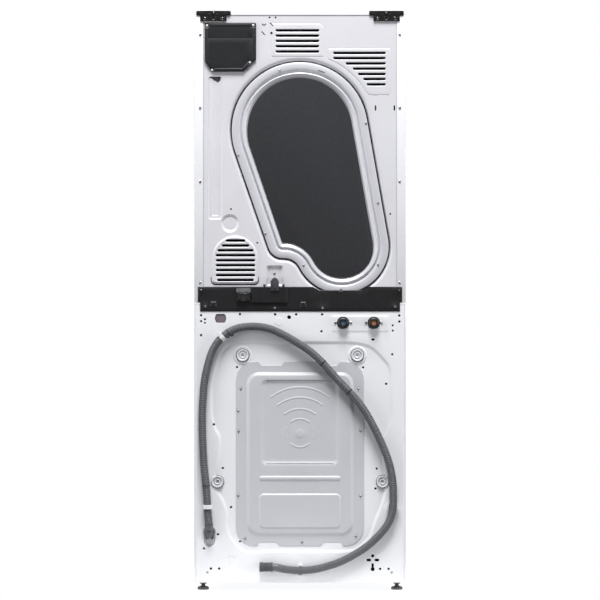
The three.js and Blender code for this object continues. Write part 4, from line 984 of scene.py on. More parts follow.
def build_joining_plate():
    corners = [
        (-290, 818.8), (-284, 818.8), (-284, 793.7), (284, 793.7), (284, 818.8), (290, 818.8),
        (290, 864.0), (-36.5, 864.0), (-53.5, 854.3), (-173.9, 854.3), (-192.0, 864.0), (-290, 864.0),
    ]
    outline = filleted(corners, [2, 0.4, 2, 2, 0.4, 2, 3, 3, 3, 3, 3, 3], 3)
    places = [(281.3, 855), (-282, 854.3), (268.8, 808), (71.2, 803.4), (-63.8, 803.4), (-270, 807.4)]
    reliefs = [(outline, [(-2.2, 0), (-0.7, -0.3), (0, -0.9)])]
    reliefs += [
        (rounded_rect(34.8, 139.3, 817, 864.6, 4, 3), [(-3.0, 6.4), (-1.8, 5.6), (-0.6, 1.0), (0.2, 0)])
    ]
    reliefs += [
        (rounded_rect(x - 8.5, x + 8.5, z - 8, z + 8, 2, 3), [(-2.4, 2.2), (0.2, 0)])
        for x, z in ((245.8, 814), (-8.7, 813))
    ]
    reliefs += [(circle(x, z, 6.4, 18), [(-1.2, 0.7), (0.2, 0)]) for x, z in places]
    openings = [capsule(-121, -110.4, 851, 3.2, 3), circle(159.8, 833.3, 9.0, 20)]
    plate = pressed_sheet(outline, reliefs, openings, 302.2, 1, thick=1.6, step=24)
    seat("joining_strap", plate, "black_steel", replaces=["joining_plate"])
    screws = Form(*(screw_shape(x, z, 302.6, 2.0 if z > 850 else 3.1) for x, z in places))
    seat("joining_strap_screws", screws, "zinc_screw")

    tag = pressed_sheet(
        rounded_rect(140.6, 180.2, 847.4, 860, 2, 3),
        [(rounded_rect(140.6, 180.2, 847.4, 860, 2, 3), [(-1.2, 0), (0, -0.5)])], [], 308.4, 1,
        thick=5.4, step=20,
    )
    seat("cord_clamp_tag", tag, "zinc")
    body = rounded_rect(141, 179, 822, 846.2, 3, 3)
    clamp = pressed_sheet(
        body,
        [
            (body, [(-1.6, 0), (-0.5, -0.4), (0, -1.2)]),
            (circle(159.8, 833.3, 11.8, 28), [(0.2, 1.2), (1.6, 0)]),
        ],
        [circle(159.8, 833.3, 9.0, 28)], 310.6, 1, thick=7.8, step=20,
    )
    collar = ring_of(159.8, 833.3, 11.6, 9.0, 303.0, 313.6, 32)
    seat("cord_clamp_body", Form(clamp, collar), "black_steel", replaces=["cord_clamp"])

    plug = prism(
        filleted(
            [(60, 852), (83.6, 852), (83.6, 880), (78, 888), (71.8, 891), (65.6, 888), (60, 880)], 2.5,
            3,
        ),
        298.6, 312.4, 2.0,
    )
    latch = block(68.4, 75.2, 311.6, 315.6, 858, 878, 1.2)
    ribs = [block(61.4, 82.2, 312.0, 313.2, z, z + 1.6, 0.4) for z in (855, 859, 863)]
    seat("harness_plug_shell", Form(plug, latch, *ribs), "dark_plastic", replaces=["harness_plug"])
    seat("harness_recess_screw", screw_shape(72.6, 901.4, 291.6, 4.0), "zinc_screw")
    ties = Form()
    for x in (101.0, 47.0):
        ties.add(block(x - 3.2, x + 3.2, 298.0, 302.4, 864.0, 871.6, 1.2))
    seat("harness_ties", ties, "dark_plastic")


def side_section(side):
    """The dryer side's plan: rear return, rounded bend, long wall, front return."""
    corners = [
        (275.2, 298.8), (275.2, 300.0), (300.0, 300.0), (300.0, -283.0), (282.0, -283.0),
        (282.0, -281.8),
    ]
    corners += [(298.8, -281.8), (298.8, 298.8)]
    radii = [0.2, 0.3, 3.2, 3.0, 0.3, 0.2, 1.8, 2.0]
    corners = [(side * x, y) for x, y in corners]
    return filleted(corners if side < 0 else corners[::-1], radii if side < 0 else radii[::-1], 5)


def build_dryer_casing():
    for side, cad in ((-1, "dryer_side_left"), (1, "dryer_side_right")):
        wall = prism(side_section(side), DRYER_FOOT + 0.1, DRYER_HEAD, 0.15, "z")
        seat(cad + "_sheet", wall, "white_enamel", replaces=[cad])
    screws = Form()
    for z in (1580, 1372, 1163, 876):
        for x in (-283.3, 283.3):
            screws.add(screw_shape(x, z, 300.0, 4.4))
    seat("dryer_back_screws", screws, "zinc_screw")
    plan = rounded_rect(-HALF_WIDTH, HALF_WIDTH, FRONT_FACE, REAR_FACE, 4.0, 5)
    rim = [
        (0.0, TOWER_HEAD - 16.8), (0.0, TOWER_HEAD - 2.2), (-0.7, TOWER_HEAD - 0.7), (-2.2, TOWER_HEAD),
    ]
    inner = [(-9.0, TOWER_HEAD), (-9.8, TOWER_HEAD - 0.6), (-11.4, TOWER_HEAD - 0.6)]
    under = [(-11.4, TOWER_HEAD - 2.0), (-1.6, TOWER_HEAD - 2.6), (-1.2, TOWER_HEAD - 16.8)]
    loops = [[(x, y, z) for x, y in plan(margin)] for margin, z in rim + inner + under]
    points, faces = loops_skin(loops)
    n = len(loops[0])
    faces.append(tuple(range(6 * n, 7 * n)))
    faces.append(tuple(range(7 * n, 8 * n))[::-1])
    faces = [
        f
        for f in faces if not (
            len(f) == 4 and 6 * n <= min(f) and max(f) < 8 * n and min(f) < 7 * n <= max(f)
        )
    ]
    seat("dryer_lid", (points, faces), "white_enamel", replaces=["dryer_top"])


# ---- The washer's back ----

CABINET_FIELD = [
    (-137, 108), (-20, 107), (90, 107), (153, 105.5), (194, 138), (212, 178), (213, 222), (228, 262),
    (250, 296), (246, 332), (236, 372), (233, 432), (247, 462), (256, 505), (256, 579), (243, 640),
    (224, 688), (188, 709), (90, 711), (0, 711), (-90, 711), (-160, 709), (-205, 696), (-236, 668),
    (-260, 632), (-264, 560), (-265, 492), (-254, 455), (-243, 425), (-244, 360), (-251, 300),
    (-236, 240), (-218, 195), (-203, 153), (-176, 124),
]
CABINET_HOLES = [
    (281, 783, 2.6), (270, 771.6, 2.6), (281, 766, 2.6), (170.5, 786, 2.8), (70.6, 785.3, 2.8),
    (31, 777.3, 4.4), (11, 785.5, 2.8), (281, 726.2, 2.8), (-63, 785.3, 2.8), (-61, 737.3, 2.8),
    (-282, 782.1, 2.8), (-282, 765.1, 2.8), (-263.4, 754, 2.4), (-263.4, 739.3, 2.4), (-262, 672, 2.6),
    (-179.3, 634.7, 2.6), (179, 635.6, 2.6), (244.7, 473, 2.8), (-244.7, 588, 2.8),
    (219.4, 348.8, 2.8), (-218, 347.3, 2.8), (-214.6, 290.5, 2.8), (196, 238, 2.8), (233, 161, 2.8),
    (272.8, 120.7, 2.8), (170.5, 140.6, 2.4), (253, 63.6, 2.8), (229.6, 63.6, 2.8), (262.8, 52.5, 2.8),
    (-227.6, 62.8, 2.8), (-251.5, 62.8, 2.8), (-260.8, 52.3, 2.8), (-206.3, 100, 3.6),
]
TRANSIT_HOLES = [(163, 669.5), (-163, 669.5), (234.8, 310.5), (-234.8, 310.5)]


def build_washer_cabinet():
    bend = 9.0
    half = HALF_WIDTH - bend
    outline = rounded_rect(-half, half, CABINET_FOOT + 0.1, CABINET_HEAD - 0.1, 0.4, 1)
    openings = [circle(x, z, r * 1.25, 14) for x, z, r in CABINET_HOLES]
    openings += [circle(x, z, 9.0, 20) for x, z in TRANSIT_HOLES]
    openings += [circle(x, INLET_AXIS, 14.6, 26) for x in INLETS_X]
    openings += [
        capsule(266.6, 273.4, 761.7, 4.4, 3), capsule(-211.6, -202.8, 714.3, 6.2, 4),
        capsule(-202.0, -188.6, 88, 7.8, 4), capsule(-225.0, -211.6, 88, 7.8, 4),
        rounded_rect(-209.6, -203.2, 60, 79, 3.1, 3), circle(-206.4, 62.0, 5.6, 16),
        rounded_rect(242.7, 272.2, 127.0, 178.2, 13, 5), rounded_rect(-148, 148, 162, 618, 28, 5),
        filleted(
            [
                (213.0, 762.0), (238.2, 762.0), (242.2, 774.5), (238.2, 787.0), (213.0, 787.0),
                (209.0, 774.5),
            ],
            6, 4,
        ),
    ]
    outlet_slope = [(0.2, -5.0), (1.0, -3.6), (4.2, -0.6), (5.6, 0)]
    reliefs = [
        (flowing(CABINET_FIELD, 5), [(-12, -3.6), (-10, -3.4), (-6, -1.8), (-2.0, -0.3), (0, 0)]),
        (
            rounded_rect(-253.8, -88.5, 734.7, 783.6, 8, 4),
            [(-4.6, 1.3), (-3.4, 1.1), (-0.7, 0.15), (0.2, 0)],
        ),
        (rounded_rect(242.7, 272.2, 127.0, 178.2, 13, 5), outlet_slope),
        (circle(59.8, 765, 12, 24), [(-1.2, 0.5), (0.4, 0)]),
        (circle(196, 85, 15, 26), [(-1.4, -0.8), (0.4, 0)]),
    ]
    reliefs += [
        (circle(x, z, 27, 40), [(-9.0, 0.0), (-6.5, 1.4), (-2.2, 1.8), (0, 0)]) for x,
        z in TRANSIT_HOLES[:2]
    ]
    reliefs += [(circle(x, z, 19, 28), [(-1.6, 0.8), (0.2, 0)]) for x, z in TRANSIT_HOLES[2:]]
    reliefs += [(circle(x, z, r * 1.25, 14), [(-0.1, -0.5), (0.7, 0)]) for x, z, r in CABINET_HOLES]
    back = pressed_sheet(outline, reliefs, openings, REAR_FACE, 1, step=30)
    seat("washer_back_sheet", back, "cabinet_enamel", replaces=["washer_cabinet"], sharp=CREASE_ANGLE)

    sides = Form()
    for side in (-1, 1):
        outer = arc(half, REAR_FACE - bend, bend, 90, 0, 8)
        inner = arc(half, REAR_FACE - bend, bend - SHEET, 0, 90, 8)
        section = outer + [(300.0, -280.2), (299.1, -282.2), (297.2, -283.0), (282.0, -283.0)]
        section += [(282.0, -281.8), (296.9, -281.8), (298.8, -279.9)] + inner
        section = [(side * x, y) for x, y in section]
        loops = [[(x, y, z) for x, y in section] for z in (CABINET_FOOT + 0.1, CABINET_HEAD - 0.1)]
        sides.add(capped(loops))
    seat("washer_side_walls", sides, "white_enamel")

    caps = Form()
    wells = Form()
    for x, z in TRANSIT_HOLES:
        rim = [(17.2, 297.0), (17.2, 301.8), (16.6, 303.0), (15.2, 303.4), (13.6, 302.9), (12.6, 300.6)]
        dish = [
            (9.4, 299.6), (8.6, 300.2), (7.8, 301.9), (6.8, 302.1), (5.8, 301.6), (4.8, 299.8),
            (0.0, 299.6),
        ]
        caps.add(turned(rim + dish, (x, z), "y", 36))
        wells.add(ring_of(x, z, 19.4, 17.3, 296.4, 298.2, 36))
        wells.add(block(x - 4.0, x + 4.0, 299.0, 300.5, z - 0.8, z + 0.8, 0.3))
    seat("transit_caps", caps, "cap_plastic")
    seat("transit_cap_wells", wells, "outlet_plastic")
    # Near-black sheets behind the back's holes, clear of the service cover: painted shade, so the holes read
    # dark where the cabinet's inside lies in shadow.
    shade_sheets = Form()
    for x0, x1, z0, z1 in (
        (-292, -152, 40, 790), (152, 292, 184, 790), (-150, 150, 622, 790), (152, 238, 40, 182),
    ):
        shade_sheets.add(prism(rounded_rect(x0 + 1, x1 - 1, z0, z1, 3, 3), 292.6, 294.2, 0.3))
    shade_sheets.add(prism(rounded_rect(240, 292, 40, 120, 3, 3), 292.6, 294.2, 0.3))
    seat("washer_hole_shade_sheets", shade_sheets, "mat_black")
    plate = prism(rounded_rect(206, 245, 758, 790, 3, 3), 295.6, 297.4, 0.3)
    seat("cable_entry_shutter", plate, "shutter_grey")
    anchors = Form(ring_of(193.3, 728, 5.0, 2.0, 299.6, 302.0, 18))
    seat("hose_anchor", anchors, "dark_plastic")


COVER_SCREWS = [
    (168, 574), (175.5, 512), (-166, 574), (174.8, 453), (-172, 455), (175.7, 270.5), (-172, 269.5),
    (155.5, 148.5), (-158.6, 155), (-5.5, 137.7),
]


def wave(inner, outer, start, end, steps=30):
    """A curved bar between two radii about the drum's axis."""
    mid = (inner + outer) / 2
    half = (outer - inner) / 2

    def outline(margin=0.0):
        spread = math.degrees(margin / mid)
        r = max(half + margin, 0.05)
        outside = arc(0, WASHER_AXIS, mid + r, start - spread, end + spread, steps)
        inside = arc(0, WASHER_AXIS, mid - r, end + spread, start - spread, steps)
        return outside + inside

    return outline


def build_washer_cover():
    corners = [
        (-182, 127.5), (-125, 127.5), (-116, 138.5), (-68, 138.5), (-59, 127.5), (57.5, 127.5),
        (66.5, 138.5), (116, 138.5), (125, 127.5), (182, 127.5), (182, 652), (118, 652), (110, 641),
        (52, 641), (44, 652), (-53, 652), (-61, 640), (-106, 640), (-114, 652), (-182, 652),
    ]
    radii = [62] + [3] * 8 + [62, 62] + [3] * 8 + [62]
    outline = filleted(corners, radii, 9)
    step_in = [(-14, 4.6), (-11.5, 4.3), (-2.6, 0.2), (0, 0)]
    soft = [(-5.6, 2.4), (-4.4, 2.2), (-1.0, 0.2), (0, 0)]
    reliefs = [
        (outline, [(-1.4, 0), (-0.5, -0.2), (0, -0.8)]),
        (rounded_rect(-155, 155, 154, 624, 38, 10), step_in),
        (
            rounded_rect(-114, 114, 355, 603, 20, 6),
            [(-16.5, -4.2), (-13.4, -3.9), (-2.6, -0.2), (0, 0)],
        ),
        (capsule(-96, 96, 597, 4.0, 5), [(-0.8, -3.2), (0.1, 0)]),
        (capsule(-96, 96, 361, 2.6, 5), [(-0.6, -3.0), (0.1, 0)]),
        (rounded_rect(-117, 117, 312.4, 328, 7.5, 5), soft),
        (rounded_rect(-117, 117, 177, 277.8, 14, 6), soft),
        (circle(0, WASHER_AXIS, 15, 30), [(-7.5, 1.3), (-6, 1.2), (-1.2, 0.2), (0.2, 0)]),
        (wave(40.4, 44.8, 152, 200, 12), [(-2.1, 0.6), (-1.2, 0.5), (1.4, 0)]),
        (wave(40.4, 44.8, -20, 28, 12), [(-2.1, 0.6), (-1.2, 0.5), (1.4, 0)]),
        (wave(40.4, 44.8, 51, 129), [(-2.1, 0.9), (-1.2, 0.8), (1.4, 0)]),
        (wave(68.8, 73.2, 51, 129), [(-2.1, 0.9), (-1.2, 0.8), (1.4, 0)]),
        (wave(101.3, 105.7, 51, 129), [(-2.1, 0.9), (-1.2, 0.8), (1.4, 0)]),
        (wave(130.4, 134.8, 51, 129), [(-2.1, 0.9), (-1.2, 0.8), (1.4, 0)]),
        (wave(35.6, 40.0, 225, 315, 20), [(-2.1, 0.9), (-1.2, 0.8), (1.4, 0)]),
    ]
    reliefs += [(circle(x, z, 6.8, 18), [(-1.6, -0.5), (0.2, 0)]) for x, z in COVER_SCREWS]
    cover = pressed_sheet(outline, reliefs, [], 297.8, 1, step=24)
    seat(
        "washer_service_cover", cover, "cover_steel", replaces=[
            "washer_rear_cover"
        ], sharp=CREASE_ANGLE,
    )
    screws = Form(*(screw_shape(x, z, 297.6, 3.6) for x, z in COVER_SCREWS))
    seat("washer_cover_screws", screws, "zinc_screw")


def build_inlet_valves():
    for x, name, cad, colour, slot in (
        (INLETS_X[0], "cold_inlet", "cold_inlet_valve", "cold_blue", "blue_plastic"),
        (INLETS_X[1], "hot_inlet", "hot_inlet_valve", "hot_orange", "orange_plastic"),
    ):
        profile = [
            (8.5, 262.0), (8.5, 318.8), (9.2, 319.8), (10.6, 320.0), (11.6, 319.4), (13.4, 317.8),
            (13.4, 316.6), (12.4, 315.4),
        ]
        for turn in range(4):
            y = 315.4 - turn * 2.8
            profile += [(12.4, y), (13.9, y - 0.9), (13.9, y - 1.5), (12.4, y - 2.4)]
        profile += [(12.4, 303.4), (17.6, 303.0), (17.6, 300.6), (14.0, 300.4), (14.0, 262.0)]
        stub = turned(profile, (x, INLET_AXIS), "y", 36, closed=True)
        housing = block(x - 18, x + 18, 240, 262.4, 740.2, 784, 3)
        rim = [
            (0, 312.0), (8.3, 312.0), (8.3, 315.6), (7.2, 316.6), (5.2, 316.8), (4.4, 315.8), (0, 316.2),
        ]
        filter_disc = turned(rim, (x, INLET_AXIS), "y", 28)
        seat(name + "_stub", Form(stub, housing), "terminal_plastic", replaces=[cad])
        seat(name + "_strainer", filter_disc, colour)
        ring = turned(
            [(13.7, 317.0), (14.9, 316.2), (14.9, 312.0), (13.7, 311.4)], (x, INLET_AXIS), "y", 36,
            closed=True,
        )
        seat(name + "_thread_ring", ring, "dark_plastic")
        screws = Form(
            screw_shape(x - 22, INLET_AXIS, 301.6, 4.0), screw_shape(x + 22, INLET_AXIS, 301.6, 4.0),
        )
        seat(name + "_screws", screws, "zinc_screw")


# ---- The drain hose ----

HOSE_ROUTE = [
    (258.6, 196), (261.7, 224), (263.7, 265), (266.3, 300), (273.4, 373), (276.8, 457), (277.3, 497),
    (275.1, 546), (270.8, 596), (262, 640), (246, 687), (221, 721), (184, 744), (140, 751.5),
    (92, 746.5), (52.7, 730.7), (12.9, 708.3), (-40.5, 671), (-112, 595), (-172, 528.5), (-212, 460.6),
    (-249.8, 373), (-262, 319), (-264.2, 275), (-263.3, 240), (-258, 212), (-242, 181), (-191, 129),
    (-123, 88), (-82, 73), (-41, 63), (-1, 59.5), (40, 62.5), (66, 68),
]
HOSE_START = (257.7, 312.0, 172.0)
HOSE_END = (76.7, 314.0, 69.5)


def hose_line(spacing):
    """The hose's centreline, from the outlet's mouth to the cuff."""
    route = [HOSE_START]
    for i, (x, z) in enumerate(HOSE_ROUTE):
        route.append((x, (312.3, 313.0)[i] if i < 2 else HOSE_Y, z))
    return through([*route, HOSE_END], spacing)


def hose_place(x, z):
    """The nearest place on the hose to (x, z), and its direction in the XZ plane."""
    line = hose_line(2.0)
    i = int(np.argmin((line[:, 0] - x) ** 2 + (line[:, 2] - z) ** 2))
    i = min(max(i, 1), len(line) - 2)
    way = line[i + 1] - line[i - 1]
    return line[i], math.degrees(math.atan2(way[2], way[0]))


def cuff_ring(x, z, length, outer, inner):
    """A short sleeve lying along the hose at (x, z)."""
    at, turn = hose_place(x, z)
    half = length / 2
    soft = min(0.6, half / 3)
    profile = [
        (inner, -half), (outer - soft, -half), (outer, -half + soft), (outer, half - soft),
        (outer - soft, half), (inner, half),
    ]
    sleeve = turned(profile, (at[1], 0), "x", 32, closed=True)
    points = np.array(sleeve[0])
    c, s = math.cos(math.radians(turn)), math.sin(math.radians(turn))
    x_along, z_across = points[:, 0].copy(), points[:, 2].copy()
    points[:, 0] = at[0] + x_along * c - z_across * s
    points[:, 2] = at[2] + x_along * s + z_across * c
    return points, sleeve[1]


def build_drain_hose():
    sizes = bpy.context.scene.laundry_sizes
    pitch = sizes.hose_rib_pitch / MM
    line = hose_line(pitch / 4)
    lift = np.array([0.0, 0.72, 1.0, 0.72])
    depth = sizes.hose_rib_depth / MM
    radii = HOSE_RADIUS - depth + depth * lift[np.arange(len(line)) % 4]
    run = np.arange(len(line)) * float(np.linalg.norm(line[1] - line[0]))
    plain = (run < 24) | (run > run[-1] - 16)
    radii[plain] = HOSE_RADIUS - 0.2
    hose = seat(
        "drain_hose_tube", swept(line, radii, 18), "hose_plastic", replaces=["drain_hose"], sharp=70,
    )

    bend = [
        (257.7, 262, 158), (257.7, 286, 158), (257.7, 301, 159.5), (257.7, 309.5, 164.5),
        (257.7, 312, 172.6),
    ]
    spout = through(bend, 3.0)
    outlet = swept(spout, [10.6] * (len(spout) - 4) + [10.8, 11.0, 11.0, 10.6], 28)
    tray = rounded_rect(243.2, 271.8, 127.4, 177.8, 12.5, 6)
    loops = [
        [(x, y, z) for x, z in tray(margin)]
        for margin, y in (
            (-0.6, 295.4), (-1.2, 296.0), (-2.6, 293.0), (-4.2, 272.0), (-5.4, 272.0), (-3.8, 290.0),
            (-0.6, 292.0),
        )
    ]
    seat("drain_pocket_frame", loops_skin(loops), "cap_plastic")
    shelf = prism(rounded_rect(246.4, 268.6, 130.6, 150.0, 9.0, 6), 288.0, 291.0, 0.5)
    seat("drain_pocket_floor", shelf, "cap_plastic")
    spigot = seat(
        "drain_outlet_elbow", outlet, "hose_plastic", replaces=["drain_outlet"]
    )

    cuff = Form()
    x0, x1 = 77.2, 114.8
    profile = [(13.0, x0), (13.6, x0 + 1.2), (13.6, x0 + 5.0), (12.7, x0 + 6.4), (12.7, x0 + 12.0)]
    for turn in range(3):
        x = x0 + 13.0 + turn * 3.4
        profile += [(12.7, x), (13.4, x + 0.9), (13.4, x + 1.7), (12.7, x + 2.6)]
    profile += [(12.7, x1 - 12.0), (13.6, x1 - 9.0), (13.6, x1 - 1.0), (12.8, x1), (9.8, x1)]
    profile += [(9.0, x1 - 1.0), (9.0, x0 + 14.0), (11.6, x0 + 12.0), (11.6, x0)]
    cuff.add(turned(profile, CUFF_AXIS, "x", 40, closed=True))
    rubber_cuff = seat("drain_hose_end_cuff", cuff, "cuff_rubber", replaces=["drain_hose_cuff"])

    bands = Form()
    for x, z in ((-65.5, 648), (-140.2, 566.3), (266.3, 300), (258.6, 190)):
        bands.add(cuff_ring(x, z, 2.6, 12.2, 11.2))
    band = seat("hose_bands", bands, "dark_plastic")

    label = cuff_ring(221, 721, 12, 12.2, 11.3)
    at, turn = hose_place(221, 721)
    c, s = math.cos(math.radians(turn)), math.sin(math.radians(turn))
    flag_corners = [(-6.0, -3.0), (6.0, -3.0), (6.0, 17.0), (-6.0, 17.0)]
    flag_corners = [(at[0] + u * c + v * s, at[2] + u * s - v * c) for u, v in flag_corners]
    if sum(
        (b[0] - a[0]) * (b[1] + a[1]) for a, b in zip(flag_corners, flag_corners[1:] + flag_corners[:1])
    ) > 0:
        flag_corners = flag_corners[::-1]
    flag = prism(filleted(flag_corners, 1.5, 3), 325.0, 325.7, 0.2)
    tie_label = seat("hose_tie_label", Form(label, flag), "tie_plastic")
    tie = Form(
        cuff_ring(203, 734, 1.6, 11.9, 11.2), block(200.4, 204.6, 302.6, 306.2, 719.0, 724.0, 1.0),
    )
    strap = seat("hose_tie", tie, "dark_plastic")

    for name, x, z, turn, cad in (
        ("right", 262.5, 240, 90, "hose_clip_right"),
        ("left", -262.8, 240, 90, "hose_clip_left"),
        ("bottom", -1.0, 59.8, 0, "hose_clip_bottom"),
    ):
        jaw = []
        reach = (212, -32) if name == "right" else (165, 375)
        for radius, start, end in ((14.2 if name == "right" else 17.6, *reach), (12.35, *reach[::-1])):
            jaw += arc(0, 0, radius, start, end, 26)
        half = 6.0
        loops = []
        for along, shrink in ((-half, 0.5), (-half + 0.5, 0.0), (half - 0.5, 0.0), (half, 0.5)):
            ring = []
            for u, v in jaw:
                r = math.hypot(u, v)
                scale = (r - shrink) / r if r > 13 else (r + shrink * 0.2) / r
                ring.append((along, u * scale, v * scale))
            loops.append(ring)
        clip = Form(capped(loops))
        clip.add(block(-6.0, 6.0, -7.6, 7.6, -13.6, -12.2, 0.5))
        clip.add(block(-5.2, 5.2, -8.4, 0.4, -13.4, -12.4, 0.3))
        whole = np.vstack(clip.points)
        along, across, out = whole[:, 0], whole[:, 1], whole[:, 2]
        c, s = math.cos(math.radians(turn)), math.sin(math.radians(turn))
        placed_points = np.column_stack(
            [x + along * c - across * s, HOSE_Y + out, z + along * s + across * c]
        )
        seat("hose_holder_" + name, (placed_points, clip.faces), "clip_plastic", replaces=[cad])

    path = hose_line(14.0) * MM
    length = float(np.linalg.norm(np.diff(hose_line(2.0), axis=0), axis=1).sum()) * MM


# ---- The fronts ----

WASHER_DOOR = {"axis": WASHER_AXIS, "inner": 150.0, "outer": 215.0, "mouth": 172.0, "hinge": -226.0}
DRYER_DOOR = {"axis": DRYER_AXIS, "inner": 165.0, "outer": 233.0, "mouth": 190.0, "hinge": -244.0}
DOOR_FRONT = -328.4
DOOR_BACK = -287.5


def build_front_panels():
    mouth_roll = [(-0.2, -7.5), (0.8, -4.2), (2.6, -1.7), (5.2, -0.35), (8.0, 0)]
    edge = [(-4.6, 0), (-2.6, -0.35), (-1.1, -1.1), (0, -2.6)]
    low = rounded_rect(-299.6, 299.6, 26.1, 807.9, 3, 3)
    drawer_gap = rounded_rect(-270.8, -75.2, 705.2, 794.8, 5, 3)
    pump_gap = rounded_rect(-269.8, -150.2, 45.2, 138.8, 5, 3)
    reliefs = [
        (low, edge), (circle(0, WASHER_AXIS, 176, 72), mouth_roll),
        (drawer_gap, [(-0.1, -2.6), (0.7, -0.9), (2.2, 0)]),
        (pump_gap, [(-0.1, -2.0), (0.7, -0.7), (2.0, 0)]),
        (circle(0, WASHER_AXIS, 219, 72), [(-3, -1.2), (-1, -1.0), (1.5, 0)]),
    ]
    panel = pressed_sheet(
        low, reliefs, [circle(0, WASHER_AXIS, 175.5, 72), drawer_gap, pump_gap], FRONT_FACE, -1,
        thick=1.6, step=34,
    )
    seat("washer_front_sheet", panel, "white_enamel", replaces=["washer_front_panel"])
    high = rounded_rect(-299.6, 299.6, 942.1, 1635.6, 3, 3)
    reliefs = [
        (high, edge), (circle(0, DRYER_AXIS, 194, 80), mouth_roll),
        (circle(0, DRYER_AXIS, 237, 80), [(-3, -1.2), (-1, -1.0), (1.5, 0)]),
    ]
    panel = pressed_sheet(
        high, reliefs, [circle(0, DRYER_AXIS, 193.5, 80)], FRONT_FACE, -1, thick=1.6, step=34,
    )
    seat("dryer_front_sheet", panel, "white_enamel", replaces=["dryer_front_panel"])


